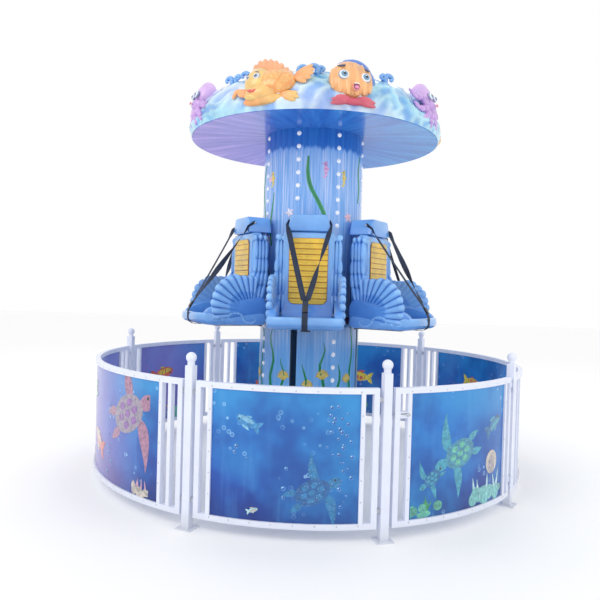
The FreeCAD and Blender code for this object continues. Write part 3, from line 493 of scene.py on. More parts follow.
def print_board(name, body, middle, shapes, half_width):
    """Lay printed shapes on a board, wrapped to its curve, on its outer and inner faces."""
    board_in, board_out = FENCE_RADIUS - 0.006, FENCE_RADIUS + 0.006
    sheet = bmesh.new()
    paint = sheet.verts.layers.float_color.new("paint")
    for face_side in (1, -1):
        for order, (points, colour) in enumerate(shapes):
            lift = PRINT_STEP * (1 + order * 0.04)
            corners = [sheet.verts.new((max(-half_width, min(half_width, u)),
                                        (board_out + lift) if face_side == 1 else (board_in - lift),
                                        max(BOARD_LOW, min(BOARD_HIGH, v)))) for u, v in points]
            for corner in corners:
                corner[paint] = (*colour, 1)
            sheet.faces.new(corners if face_side == 1 else list(reversed(corners)))
    bmesh.ops.triangulate(sheet, faces=sheet.faces[:])
    cut = -half_width
    while cut < half_width:
        everything = sheet.verts[:] + sheet.edges[:] + sheet.faces[:]
        bmesh.ops.bisect_plane(sheet, geom=everything, plane_co=(cut, 0, 0), plane_no=(1, 0, 0))
        cut += 0.05
    for corner in sheet.verts:
        corner.co = at(corner.co.y, middle + math.degrees(corner.co.x / FENCE_RADIUS), corner.co.z)
    mesh = bpy.data.meshes.new(name)
    sheet.to_mesh(mesh)
    sheet.free()
    piece = bpy.data.objects.new(name, mesh)
    bpy.context.scene.collection.objects.link(piece)
    return settle(piece, body, creature_print, 0)


SOFT_SEA, SOFT_DEEP = (0.02, 0.21, 0.47), (0.01, 0.13, 0.38)
PICTURES = [
    ("front_picture", "ground", -2.5, 0.5, [
        (swimmer, -0.26, 0.8, 0.16, 155, (0.04, 0.28, 0.6), (0.2, 0.5, 0.74)),
        (turtle, 0.2, 0.34, 0.25, 25, SOFT_SEA, SOFT_DEEP, SOFT_SEA), (bubble_string, 0.38, 0.2, 0.75, 3),
        (bubble_string, 0.43, 0.35, 0.55, 4), (bubble_string, -0.02, 0.3, 0.2, 5),
        (bubble_string, 0.34, 0.6, 0.35, 6), (bubble_string, -0.3, 0.55, 0.12, 8),
        (swimmer, -0.2, 0.2, 0.07, 20, FOAM, SAND)]),
    ("gate_picture", "gate", 37.5, 0.5, [
        (turtle, -0.06, 0.55, 0.3, 200, TEAL, (0.06, 0.3, 0.44), SEA_GREEN),
        (turtle, -0.32, 0.4, 0.15, 215, TEAL, TEAL_DARK, TEAL),
        (swimmer, 0.36, 0.72, 0.2, 30, TEAL_DARK, TEAL),
        (coral_clump, 0.3, 0.15, 0.24, (0.16, 0.5, 0.5), FOAM, 6),
        (coral_clump, -0.4, 0.15, 0.15, SEA_GREEN, WEED, 9), (disc, 0.33, 0.43, 0.08, 0.09, SAND),
        (disc, 0.33, 0.41, 0.05, 0.07, (0.4, 0.36, 0.4))]),
    ("left_picture", "ground", 297.5, 1.02, [
        (turtle, 0.74, 0.72, 0.42, 25, (0.42, 0.2, 0.32), (0.34, 0.29, 0.38), PLUM),
        (coral_clump, 0.95, 0.15, 0.14, SAND, ROSE, 12), (swimmer, 0.1, 0.4, 0.3, 160, CORAL_RED, SAND),
        (coral_clump, -0.5, 0.15, 0.28, ROSE, SUN, 14), (bubble_string, 0.45, 0.2, 0.6, 15),
        (swimmer, -0.7, 0.75, 0.22, 10, SUN, FOAM),
        (turtle, -0.15, 0.78, 0.22, 190, SEA_GREEN, WEED, TEAL)]),
    ("right_picture", "ground", 97.5, 1.02, [
        (turtle, -0.5, 0.6, 0.36, 10, SEA_GREEN, WEED, SUN),
        (coral_clump, 0.4, 0.15, 0.32, CORAL_RED, SUN, 21),
        (swimmer, 0.55, 0.72, 0.24, 185, SUN, CORAL_RED), (coral_clump, -0.8, 0.15, 0.2, ROSE, FOAM, 23),
        (bubble_string, 0.0, 0.2, 0.7, 25), (swimmer, 0.1, 0.42, 0.16, 170, CORAL_RED, FOAM)]),
    ("back_picture", "ground", 177.5, 1.02, [
        (swimmer, -0.55, 0.6, 0.26, 5, SUN, CORAL_RED),
        (coral_clump, -0.3, 0.15, 0.34, WEED, SEA_GREEN, 31),
        (turtle, 0.35, 0.7, 0.34, 170, TEAL, TEAL_DARK, SEA_GREEN),
        (coral_clump, 0.7, 0.15, 0.26, PLUM, ROSE, 33), (bubble_string, 0.05, 0.2, 0.7, 35),
        (swimmer, 0.75, 0.45, 0.15, 190, CORAL_RED, SUN)]),
    ("short_picture", "ground", 237.5, 0.5, [
        (swimmer, 0.1, 0.68, 0.3, 170, CORAL_RED, SUN),
        (coral_clump, -0.2, 0.15, 0.26, SEA_GREEN, SUN, 41), (swimmer, -0.25, 0.5, 0.15, 10, SUN, FOAM),
        (bubble_string, 0.35, 0.2, 0.65, 43)])]
for name, body, middle, half_width, contents in PICTURES:
    shapes = []
    for draw, *measures in contents:
        shapes += draw(*measures)
    print_board(name, body, middle, shapes, half_width)


# ---------------------------------------------------------------- hidden steelwork
# Base, slewing drive, mast, rails, canopy frame and motors are painted grey; gears, bearing,
# chain and sprockets are bare oiled steel; guide rollers are black cast plastic.
grey_paint = make_painted("grey_machine_paint", (0.18, 0.2, 0.23), (0.12, 0.11, 0.1), 0.45)
dress(["base_plate", "base_drum", "turntable", "spin_motor", "slot_rails", "mast", "drum_floor",
       "canopy_frame",
       "chain_bearings", "lift_motor"], grey_paint)
oiled_steel = make_steel("oiled_steel", (0.35, 0.34, 0.33), 0.38, 1.0)
dress(["ring_gear", "pinion", "bearing_ring", "sprocket_low", "sprocket_high", "lift_chain"], oiled_steel)
roller_black = make_painted("roller_black", (0.03, 0.03, 0.033), (0.06, 0.055, 0.05), 0.6, 500.0, 0.3)
dress(["roller_1", "roller_2", "roller_3", "roller_4"], roller_black)


# ---------------------------------------------------------------- column
# Glass fibre skin in four quarters under a one-piece upper drum, hand painted with upright
# brush strokes in white and lavender over blue, and a darker wavy band below the canopy.
COLUMN_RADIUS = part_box("upper_drum")[1].x
DRUM_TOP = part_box("upper_drum")[1].z


def add_step(tree, kind, operation, *values):
    """A node over sockets and constants, in its inputs' order; its first output that has a value."""
    node = tree.nodes.new(kind)
    if operation:
        node.operation = operation
    for slot, value in enumerate(values):
        if isinstance(value, bpy.types.NodeSocket):
            tree.links.new(value, node.inputs[slot])
        else:
            node.inputs[slot].default_value = value
    return node.outputs["Value"] if "Value" in node.outputs else node.outputs[0]


def add_math(tree, operation, *values):
    """Arithmetic on sockets and constants."""
    return add_step(tree, "ShaderNodeMath", operation, *values)


def add_bearing_point(tree, around, along, up):
    """A point whose X is the bearing about the tower, Y the radius and Z the height, each scaled."""
    parts = split(tree, tree.nodes.new("ShaderNodeTexCoord").outputs["Object"])
    angle = add_math(tree, "ARCTAN2", parts["X"], add_math(tree, "MULTIPLY", parts["Y"], -1))
    level = add_step(tree, "ShaderNodeCombineXYZ", None, parts["X"], parts["Y"])
    reach = add_step(tree, "ShaderNodeVectorMath", "LENGTH", level)
    scaled = [add_math(tree, "MULTIPLY", source, scale)
              for source, scale in ((angle, around), (reach, along), (parts["Z"], up))]
    return add_step(tree, "ShaderNodeCombineXYZ", None, *scaled), parts


def make_column_paint():
    """Brushed blue, lavender and white strokes with a dark wavy band on top."""
    finish, tree, shader = start_finish("column_brushwork", 0.24, coat=0.5)
    point, parts = add_bearing_point(tree, 9.0, 0.0, 0.55)
    strokes = add_noise(tree, point, 2.4, 5.0, 0.62)
    blue = add_ramp(tree, strokes, [(0.3, (0.09, 0.31, 0.76)), (0.46, (0.17, 0.42, 0.84)),
                                    (0.58, (0.36, 0.55, 0.9)), (0.72, (0.66, 0.74, 0.96))])
    fine_point, _ = add_bearing_point(tree, 40.0, 0.0, 1.1)
    fine = add_ramp(tree, add_noise(tree, fine_point, 1.5, 3.0), [(0.56, 0), (0.72, 0.5)])
    blue = add_mix(tree, fine, blue, (0.6, 0.7, 0.94))
    blue = add_mix(tree, add_range(tree, parts["Z"], 1.0, 1.5, 0.7, 0.0), blue, (0.15, 0.45, 0.83))
    wave_point, _ = add_bearing_point(tree, 4.0, 0.0, 0.0)
    sway = add_math(tree, "MULTIPLY_ADD", add_noise(tree, wave_point, 2.0, 3.0), 0.16, parts["Z"])
    edge = add_range(tree, sway, DRUM_TOP - 0.12, DRUM_TOP - 0.085)
    band = add_ramp(tree, add_noise(tree, point, 1.3, 3.0),
                    [(0.35, (0.01, 0.12, 0.5)), (0.7, (0.03, 0.22, 0.66))])
    end_finish(tree, shader, add_mix(tree, edge, blue, band), strokes, 0.12, 0.004)
    return finish


column_paint = make_column_paint()
dress(["column_panel_" + str(number) for number in range(1, 5)] + ["upper_drum"], column_paint)


def make_sculpt_paint(name, roughness=0.25, mottle_scale=7.0, scales=0.0):
    """Airbrushed gelcoat: the piece's painted tints, which on the seats and headrests include painted light
    and shade, shaded in soft clouds under a clear coat.
    """
    finish, tree, shader = start_finish(name, roughness, coat=0.6)
    point = add_object_point(tree)
    paint = add_node(tree, "ShaderNodeAttribute", attribute_name="paint")
    cloud = add_ramp(tree, add_noise(tree, point, mottle_scale, 3.0),
                     [(0.3, (0.8, 0.8, 0.85)), (0.7, (1.14, 1.12, 1.1))])
    tone = add_mix(tree, 1.0, paint.outputs["Color"], cloud, "MULTIPLY")
    relief = add_noise(tree, point, 70.0, 3.0)
    if scales:
        relief = add_cells(tree, point, scales)
        rim = add_ramp(tree, relief, [(0.35, 0), (0.75, 0.6)])
        tone = add_mix(tree, rim, tone, (0.8, 0.25, 0.06))
    end_finish(tree, shader, tone, relief, 0.25 if scales else 0.06, 0.006 if scales else 0.002)
    return finish


sculpt_paint = make_sculpt_paint("airbrushed_gelcoat")


def tint(piece, colour, tip, axis, low, high):
    """Paint a piece from one colour to another along an axis; on the seats and headrests this is painted
    light, lighter towards the top.
    """
    layer = start_paint(piece)
    for index, vertex in enumerate(piece.data.vertices):
        share = min(1, max(0, (vertex.co[axis] - low) / (high - low)))
        layer[index].color = blend(colour, tip, share)
    return piece


def new_grid(across, along):
    """A flat grid from -1 to 1 both ways, alone in the selection."""
    bpy.ops.object.select_all(action="DESELECT")
    bpy.ops.mesh.primitive_grid_add(x_subdivisions=across, y_subdivisions=along, size=2)
    return bpy.context.object


def start_paint(piece):
    """The layer that holds a piece's tints: its own colours and, on the seats and headrests, painted light
    and shade.
    """
    return piece.data.color_attributes.new("paint", "FLOAT_COLOR", "POINT").data


def blend(first, second, share):
    """The colour a share of the way from one to another, opaque."""
    return (*[a + (b - a) * share for a, b in zip(first[:3], second[:3])], 1)


def frond(trace, colour, rim, rise=0.004):
    """A painted leaf in low relief on the column, along (bearing, height, width) points."""
    leaf = new_grid(4, (len(trace) - 1) * 6)
    for vertex in leaf.data.vertices:
        along = (vertex.co.y + 1) / 2 * (len(trace) - 1)
        index = min(int(along), len(trace) - 2)
        share = along - index
        share = share * share * (3 - 2 * share) * 0.5 + share * 0.5
        first, last = trace[index], trace[index + 1]
        bearing, height, width = (a + (b - a) * share for a, b in zip(first, last))
        side = vertex.co.x
        lift = rise * (1 - side * side) + 0.0006
        turn = math.degrees(side * width / 2 / COLUMN_RADIUS)
        vertex.co = at(COLUMN_RADIUS + lift, bearing + turn, height)
    layer = start_paint(leaf)
    for index in range(len(leaf.data.vertices)):
        layer[index].color = blend(colour, rim, abs(index % 5 - 2) / 2)
    return leaf


def wavy_frond(bearing, low, high, width, sway, turns, phase, colour, rim):
    """An upright weed that winds from side to side and tapers to its tip."""
    count = 3 + turns * 4
    trace = []
    for index in range(count + 1):
        share = index / count
        swing = sway * math.sin(phase + share * turns * 2 * math.pi) * (0.4 + 0.6 * share)
        trace.append((bearing + swing, low + (high - low) * share, width * (1 - share) ** 0.6 + 0.004))
    return frond(trace, colour, rim)


def spline(t, a, b, c, d):
    """A smooth passage from b to c that heads as the four values do."""
    return b + 0.5 * t * (c - a + t * (2 * a - 5 * b + 4 * c - d + t * (3 * (b - c) + d - a)))


def rounded_trace(dots, steps=5):
    """The places of a trace joined by a smooth curve through all of them."""
    ends = [dots[0]] + dots + [dots[-1]]
    trace = []
    for before, here, there, after in zip(ends, ends[1:], ends[2:], ends[3:]):
        for step in range(steps):
            trace.append(tuple(spline(step / steps, *four) for four in zip(before, here, there, after)))
    return trace + [dots[-1]]


WEED_DARK, WEED_LIGHT = (0.005, 0.16, 0.06), (0.02, 0.4, 0.14)
long_weeds = [
    [(-4, 2.94, 0.018), (-4.5, 2.8, 0.034), (-1, 2.66, 0.04), (8, 2.52, 0.044), (15, 2.4, 0.044),
     (20, 2.28, 0.04), (22, 2.1, 0.03)],
    [(-47, 2.62, 0.01), (-50, 2.45, 0.024), (-53, 2.3, 0.03), (-50, 2.12, 0.03)],
    [(66, 3.0, 0.012), (63, 2.84, 0.026), (66, 2.7, 0.03), (64, 2.55, 0.02)]]
leaves = [frond(rounded_trace(dots), WEED_DARK, WEED_LIGHT) for dots in long_weeds]
SLOT_CLEARANCE = 12.5
for index in range(18):
    chance = random.Random(100 + index)
    bearing = -3 + index * 20
    from_slot = (bearing + 60) % 90 - 45
    if abs(from_slot) < SLOT_CLEARANCE:
        bearing += math.copysign(SLOT_CLEARANCE, from_slot) - from_slot
    leaves.append(wavy_frond(bearing, 0.2, chance.uniform(0.95, 1.42), chance.uniform(0.045, 0.066), 3.2,
                             chance.choice((2, 3)), chance.uniform(0, 6), WEED_DARK, WEED_LIGHT))
for bearing in (112, 150, 200, 235, 290):
    leaves.append(wavy_frond(bearing, 1.7, 2.9, 0.042, 5.0, 2, bearing, WEED_DARK, WEED_LIGHT))
settle(merge(leaves, "painted_weeds"), "tower", sculpt_paint, 60)


# ---------------------------------------------------------------- column ornaments
# Small painted sea creatures in low relief: seahorses, starfish and coral sprigs, cast with
# the skin and picked out in pink, yellow and white.
def taper(start, end, first, last, colour, tip=None, flat=1.0, flat_along=(1, 0, 0), segments=14, rings=8):
    """A round-ended tapering body from one place to another, which may be flattened in a direction."""
    body = new_sphere(segments, rings)
    start, end = Vector(start), Vector(end)
    along = end - start
    length = along.length
    along = along.normalized() if length > 1e-6 else Vector((0, 0, 1))
    thin = Vector(flat_along) - along * Vector(flat_along).dot(along)
    thin = thin.normalized() if thin.length > 1e-4 else along.orthogonal().normalized()
    wide = along.cross(thin)
    layer = start_paint(body)
    for index, vertex in enumerate(body.data.vertices):
        share = (vertex.co.z + 1) / 2
        girth = first + (last - first) * share
        cap = vertex.co.z * (first if vertex.co.z < 0 else last) * 0.5
        middle = start + along * (length * share) + along * cap
        vertex.co = middle + thin * (vertex.co.x * girth * flat) + wide * (vertex.co.y * girth)
        layer[index].color = blend(colour, tip or colour, share)
    return body


def speck(start, end, first, last, colour, tip, flat):
    """A small tapering body between two places in Y and Z."""
    return taper((0, *start), (0, *end), first, last, colour, tip, flat, segments=8, rings=6)


def seahorse(colour, tip):
    """Head, snout, curled body and fin, drawn in Y and Z about its own middle."""
    dots = [(0.005, 0.05), (0.0, 0.02), (0.008, -0.015), (0.004, -0.045), (-0.01, -0.06), (-0.02, -0.05)]
    girths = [0.013, 0.017, 0.014, 0.009, 0.006, 0.004]
    parts = [speck(a, b, g, h, colour, tip, 0.5) for a, b, g, h in zip(dots, dots[1:], girths, girths[1:])]
    parts.append(speck((0.0, 0.062), (0.012, 0.064), 0.014, 0.012, colour, tip, 0.5))
    parts.append(speck((-0.006, 0.06), (-0.03, 0.054), 0.007, 0.004, colour, tip, 0.5))
    parts.append(speck((0.016, 0.02), (0.03, 0.01), 0.012, 0.006, tip, colour, 0.3))
    return merge(parts, "seahorse")


def starfish(colour, tip):
    """Five stubby arms."""
    angles = [math.radians(90 + 72 * index) for index in range(5)]
    return merge([speck((0, 0), (0.04 * math.cos(angle), 0.04 * math.sin(angle)), 0.016, 0.006, colour,
                        tip, 0.4)
                  for angle in angles], "starfish")


def sprig(colour, tip):
    """A little fan of branching coral fingers."""
    parts = []
    for index in range(7):
        lean = math.radians(-54 + 18 * index)
        reach = 0.075 - 0.006 * abs(index - 3)
        fork = (reach * 0.6 * math.sin(lean), reach * 0.6 * math.cos(lean))
        parts.append(speck((0, 0), fork, 0.008, 0.007, colour, tip, 0.6))
        for bend in (-0.35, 0.3):
            reach_on, turn = reach * 0.4, lean + bend
            end = (fork[0] + reach_on * math.sin(turn), fork[1] + reach_on * math.cos(turn))
            parts.append(speck(fork, end, 0.007, 0.005, tip, colour, 0.6))
    return merge(parts, "sprig")


def hang(piece, spots, name):
    """Copies of an ornament on the column at (bearing, height, turn, size)."""
    places = []
    for bearing, height, turn, size in spots:
        lean = Matrix.Rotation(math.radians(turn), 4, "X") @ Matrix.Diagonal((size, size, size, 1))
        places.append(facing(bearing) @ Matrix.Translation((COLUMN_RADIUS, 0, height)) @ lean)
    return settle(join_copies(piece, places, name), "tower", sculpt_paint, 60)


ORNAMENTS = [
    ("pink_seahorses", seahorse, (0.65, 0.25, 0.55), (0.85, 0.5, 0.75),
     [(14.7, 2.81, 0, 1.1), (140, 2.7, 10, 1.2), (262, 2.8, -8, 1.2)]),
    ("yellow_seahorses", seahorse, (0.75, 0.55, 0.06), (0.9, 0.75, 0.2),
     [(37, 2.745, 0, 1.1), (185, 2.78, 5, 1.2), (310, 2.74, 0, 1.1)]),
    ("coral_sprigs", sprig, (0.6, 0.42, 0.06), (0.8, 0.66, 0.16),
     [(-26, 0.86, 5, 1.3), (1, 0.8, -4, 1.1), (18, 0.88, 3, 1.3), (50, 0.84, 0, 1.2),
      (140, 0.8, 0, 1.3), (190, 0.86, 4, 1.2), (235, 0.82, 0, 1.3), (285, 0.85, 0, 1.2)]),
    ("pink_starfish", starfish, (0.85, 0.35, 0.45), (0.95, 0.8, 0.85),
     [(45, 2.4, 12, 1.2), (220, 2.35, 0, 1.2), (-55, 2.75, 30, 0.9)]),
    ("white_starfish", starfish, (0.8, 0.85, 0.95), (0.9, 0.75, 0.85),
     [(-24, 2.42, 20, 1.1), (95, 2.3, 0, 1.2), (-85, 2.4, 40, 1.0)])]
for name, shape, colour, tip, spots in ORNAMENTS:
    hang(shape(colour, tip), spots, name)


# ---------------------------------------------------------------- lamps
# Each lamp is a white diffusing dome on a pale collar, pressed into the skin in upright rows.
def make_lens():
    """Milky moulded lens that glows a little of its own."""
    finish, tree, shader = start_finish("milky_lens", 0.18, coat=0.7)
    point = add_object_point(tree)
    tone = add_ramp(tree, add_noise(tree, point, 30.0), [(0.3, (0.8, 0.86, 0.95)), (0.7, (0.98, 0.98, 1.0))])
    shader.inputs["Emission Color"].default_value = (0.9, 0.95, 1, 1)
    shader.inputs["Emission Strength"].default_value = 0.12
    end_finish(tree, shader, tone, add_noise(tree, point, 400.0), 0.1, 0.0005)
    return finish


lens = make_lens()
dome = new_sphere(14, 8, 0.0185)
dome.data.transform(Matrix.Diagonal((0.72, 1, 1, 1)))
bpy.ops.object.select_all(action="DESELECT")
bpy.ops.mesh.primitive_torus_add(major_segments=14, minor_segments=6, major_radius=0.0185,
                                 minor_radius=0.0035,
                                 rotation=(0, math.pi / 2, 0))
collar = bpy.context.object
bpy.ops.object.transform_apply(location=False, rotation=True, scale=False)
lamp_piece = merge([dome, collar], "lamp")
LAMP_TOP, LAMP_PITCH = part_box("lamps")[1].z - 0.022, 0.12
LAMP_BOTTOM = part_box("lamps")[0].z + 0.022
places = []
for row in range(8):
    level = LAMP_TOP
    lowest = LAMP_BOTTOM if row % 2 else LAMP_TOP - 5.5 * LAMP_PITCH
    while level > lowest - 0.01:
        places.append(facing(-15 + 45 * row) @ Matrix.Translation((COLUMN_RADIUS + 0.001, 0, level)))
        level -= LAMP_PITCH
lamp_rows = settle(join_copies(lamp_piece, places, "lamp_domes"), "tower", lens, 60)
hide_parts("lamps")


# ---------------------------------------------------------------- canopy underside and crown
# A shallow glass fibre cone, hand brushed outwards from the column in lavender, under a mirror-smooth clear
# coat. The sea blue that starts above the column's left edge is painted reflection of the blue column in the
# gloss, and carries on as sea blue paint across the right side. The crown on top is plain sky blue.
def make_underside_paint():
    """Radial brush strokes, lavender paint turning to sea blue across the canopy, the blue over the column
    being painted reflection of the column, very glossy.
    """
    finish, tree, shader = start_finish("underside_brushwork_and_reflection", 0.14, coat=0.06)
    shader.inputs["IOR"].default_value = 1.28
    point, parts = add_bearing_point(tree, 7.0, 0.9, 0.0)
    strokes = add_noise(tree, point, 1.5, 5.0, 0.6)
    # Lavender paint on the left; from above the column's left edge the sea blue is painted reflection of the
    # column, then sea blue paint further right.
    across = [(0.0, (0.36, 0.27, 0.8)), (0.28, (0.28, 0.26, 0.82)), (0.36, (0.05, 0.22, 0.72)),
              (0.62, (0.03, 0.24, 0.74)), (1.0, (0.04, 0.33, 0.78))]
    tone = add_ramp(tree, add_range(tree, parts["X"], -1.2, 1.2), across)
    light = add_ramp(tree, strokes, [(0.35, (0.62, 0.68, 0.82)), (0.52, 1.0), (0.66, (1.5, 1.35, 1.12))])
    end_finish(tree, shader, add_mix(tree, 1.0, tone, light, "MULTIPLY"), strokes, 0.05, 0.003)
    return finish


dress(["canopy_underside"], make_underside_paint())

BAND_LOW, BAND_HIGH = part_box("canopy_band")[0].z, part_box("canopy_band")[1].z
BAND_BULGE, BAND_BULGE_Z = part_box("canopy_band")[1].x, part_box("canopy_band")[0].z + 0.05
BAND_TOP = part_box("canopy_crown")[1].x


def band_radius(z):
    """The canopy band's radius at a height."""
    if z <= BAND_BULGE_Z:
        return BAND_BULGE - 0.01 * (BAND_BULGE_Z - z) / 0.05
    share = min(1.0, (z - BAND_BULGE_Z) / (BAND_HIGH - BAND_BULGE_Z))
    return BAND_BULGE - (BAND_BULGE - BAND_TOP) * share ** 2.1


# ---------------------------------------------------------------- canopy band
# The band is moulded as a lumpy sea swell that breaks into fat blue curls on its top edge.
# Troughs are sky blue, crests are airbrushed nearly white, and some patches lean to lavender.
def finish_shell(piece, gap=0.0004):
    """Close a mapped grid along its seams and turn its faces outwards."""
    pick(piece)
    bpy.ops.object.mode_set(mode="EDIT")
    bpy.ops.mesh.select_all(action="SELECT")
    bpy.ops.mesh.remove_doubles(threshold=gap)
    bpy.ops.mesh.normals_make_consistent(inside=False)
    bpy.ops.object.mode_set(mode="OBJECT")
    return piece


def apply_modifier(piece, kind, **settings):
    """Shape the active piece by a modifier."""
    step = piece.modifiers.new("step", kind)
    for key, value in settings.items():
        setattr(step, key, value)
    bpy.ops.object.modifier_apply(modifier=step.name)


def swell_at(turn, climb):
    """How high the moulded swell stands at a place on the band, about -1 to 1."""
    point = Vector((math.cos(turn) * 5.5, math.sin(turn) * 5.5, climb * 2.1))
    bend = noise.noise(point * 0.7) * 2.2
    ridge = 1 - 3.2 * abs(noise.noise(point * 1.25 + Vector((bend, 0.5 * bend, bend))))
    return 0.8 * max(-1.0, ridge) + 0.45 * noise.noise(point * 3.1)


band = new_grid(420, 34)
band.name = "swell_band"
crest_layer = start_paint(band)
for index, vertex in enumerate(band.data.vertices):
    bearing, climb = vertex.co.x * 180, (vertex.co.y + 1) / 2
    height = BAND_LOW + 0.002 + (BAND_HIGH - BAND_LOW - 0.004) * climb ** 0.85
    turn = math.radians(bearing)
    swell = swell_at(turn, climb)
    fade = min(1.0, climb * 7, (1 - climb) * 7)
    vertex.co = at(band_radius(height) + max(-0.006, swell * 0.02 * fade - 0.002), bearing, height)
    share = min(1.0, max(0.0, 0.38 + 0.8 * swell))
    patch = 0.5 + 0.5 * math.sin(3 * turn + 4 * climb + 1)
    trough = blend((0.11, 0.4, 0.78), (0.3, 0.46, 0.86), patch)
    crest_layer[index].color = blend(trough, blend((0.42, 0.78, 0.88), (0.66, 0.8, 0.94), patch), share)
finish_shell(band, 0.0005)
apply_modifier(band, "SOLIDIFY", thickness=0.008, offset=-1)
settle(band, "tower", sculpt_paint, 80)
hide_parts("canopy_band")
crown_paint = make_painted("sky_gelcoat", (0.25, 0.55, 0.85), (0.25, 0.5, 0.75), 0.25, 90.0, 0.1)
dress(["canopy_crown"], crown_paint)


def curl(size, colour, tip):
    """A breaking wave: a fat tapering spiral in Y and Z."""
    parts = []
    previous = None
    for index in range(19):
        angle = math.radians(-50 + 19 * index)
        reach = size * (1 - index / 22)
        place = (0.002 * index, reach * math.cos(angle), reach * math.sin(angle) * 0.8 + size * 0.42)
        girth = size * (0.52 - 0.019 * index)
        if previous:
            parts.append(taper(previous[0], place, previous[1], girth, colour, tip, 1.2, segments=12,
                               rings=6))
        previous = (place, girth)
    return merge(parts, "curl")


CURL_BLUE, CURL_PALE = (0.09, 0.3, 0.78), (0.3, 0.58, 0.92)
curl_spots = []
for turn in range(3):
    for bearing, size in ((-4, 0.9), (0, 1.0), (4, 0.8), (34, 0.85), (38, 1.0), (-34, 0.9), (-38, 0.8),
                          (75, 0.9)):
        curl_spots.append((bearing + 120 * turn, size))
places = []
for index, (bearing, size) in enumerate(curl_spots):
    mirror = Matrix.Diagonal((size, size * (1 if index % 2 else -1), size, 1))
    places.append(facing(bearing) @ Matrix.Translation((BAND_TOP + 0.045, 0, BAND_HIGH - 0.03)) @ mirror)
curls = finish_shell(join_copies(curl(0.055, CURL_BLUE, CURL_PALE), places, "wave_curls"), 0.00001)
settle(curls, "tower", sculpt_paint, 80)


# ---------------------------------------------------------------- canopy reliefs
# Three plump fish, three round fish and three octopuses, cast in glass fibre and airbrushed.
# Each is drawn flat as depth, width and height, and then bent round the band that carries it.
RELIEF_RADIUS, BEND_RADIUS, RELIEF_LEAN = 1.165, 1.17, 0.3


def bend_round(piece):
    """Wrap a flat relief of (depth, width, height) round the band, leaning in a little with it."""
    for vertex in piece.data.vertices:
        depth, side, height = vertex.co
        reach = RELIEF_RADIUS + RELIEF_LEAN * (band_radius(height) - RELIEF_RADIUS) + depth
        vertex.co = Matrix.Rotation(side / BEND_RADIUS, 3, "Z") @ Vector((reach, 0, height))
    return piece


def ray_fan(root, tips, first, last, colour, tip, flat=0.4):
    """A fin of overlapping rays from a root to a row of tips."""
    return [taper(root, end, first, last, colour, tip, flat) for end in tips]


def eyeball(place, size, iris):
    """A white eye in a slate ring, with a coloured iris, a dark pupil and a glint."""
    depth, side, height = place
    parts = []
    layers = ((-0.12, 1.08, (0.27, 0.35, 0.5)), (0.0, 1.0, (0.8, 0.87, 0.93)), (0.32, 0.66, iris),
              (0.5, 0.38, (0.01, 0.015, 0.03)))
    for reach, girth, colour in layers:
        front = depth + reach * size
        back = (front - size * 0.1, side, height)
        parts.append(taper(back, (front, side, height), size * girth, size * girth, colour, segments=20))
    glint = (depth + size * 0.7, side - size * 0.14, height + size * 0.2)
    end = (glint[0] + 0.002, *glint[1:])
    parts.append(taper(glint, end, size * 0.12, size * 0.12, (1, 1, 1), segments=8, rings=4))
    return parts


def ball(place, radii, colour, segments=28, rings=16):
    """A painted ellipsoid."""
    body = new_sphere(segments, rings)
    layer = start_paint(body)
    for index, vertex in enumerate(body.data.vertices):
        vertex.co = [middle + reach * share for middle, reach, share in zip(place, radii, vertex.co)]
        layer[index].color = (*colour, 1)
    return body


def brow(depth, side, height, length, slope, girth, colour):
    """A short painted eyebrow."""
    start, end = (depth, side - length / 2, height - slope), (depth, side + length / 2, height + slope)
    return taper(start, end, girth, girth, colour, segments=8, rings=6)


YELLOW, ORANGE, LIP = (0.88, 0.6, 0.2), (0.88, 0.34, 0.12), (0.8, 0.1, 0.08)
fish_body = ball((0.0, 0.0, 3.385), (0.088, 0.2, 0.125), (0.88, 0.5, 0.17), 40, 24)
fish_parts = [ball((0.012, -0.13, 3.4), (0.088, 0.115, 0.128), YELLOW),
              ball((0.012, -0.09, 3.29), (0.098, 0.14, 0.085), (0.88, 0.53, 0.18))]
fish_parts.append(taper((0.05, -0.2, 3.222), (0.03, 0.09, 3.25), 0.05, 0.042, ORANGE, YELLOW, 0.85,
                        segments=20, rings=10))
fish_parts.append(taper((0.075, -0.19, 3.262), (0.08, -0.11, 3.25), 0.028, 0.038, YELLOW, YELLOW, 0.9))
for end in (-0.17, -0.07):
    fish_parts.append(taper((0.092, end, 3.306), (0.106, -0.12, 3.29), 0.009, 0.017, LIP, LIP, 0.9))
edge = [(-0.2, 3.585), (-0.155, 3.612), (-0.105, 3.62), (-0.05, 3.612), (0.0, 3.596), (0.05, 3.57),
        (0.1, 3.535), (0.14, 3.497), (0.172, 3.458)]
for step, (side, height) in enumerate(edge):
    root = (0.0, -0.13 + 0.033 * step, 3.43 - 0.004 * step)
    fish_parts.append(taper(root, (-0.01, side, height - 0.026), 0.045, 0.042, ORANGE, (0.9, 0.45, 0.24),
                            0.45))
tail = [(0.03, 0.322, 3.52), (0.035, 0.335, 3.485), (0.035, 0.33, 3.45), (0.035, 0.31, 3.41),
        (0.03, 0.275, 3.375)]
fish_parts += ray_fan((0.02, 0.2, 3.425), tail, 0.04, 0.024, ORANGE, (0.9, 0.48, 0.2), 0.6)
fish_parts += ray_fan((0.03, 0.09, 3.27), [(0.05, 0.2, 3.215), (0.055, 0.225, 3.24),
                                           (0.05, 0.215, 3.272)], 0.036, 0.022,
                      ORANGE, YELLOW, 0.7)
front_fin = [((-0.21, 3.3), (-0.27, 3.33), 0.03), ((-0.27, 3.33), (-0.315, 3.32), 0.026),
             ((-0.315, 3.32), (-0.325, 3.275), 0.02), ((-0.2, 3.285), (-0.27, 3.3), 0.028)]
for start, end, girth in front_fin:
    fish_parts.append(taper((0.05, *start), (0.055, *end), girth, girth * 0.8, ORANGE, (0.9, 0.45, 0.2),
                            0.7))
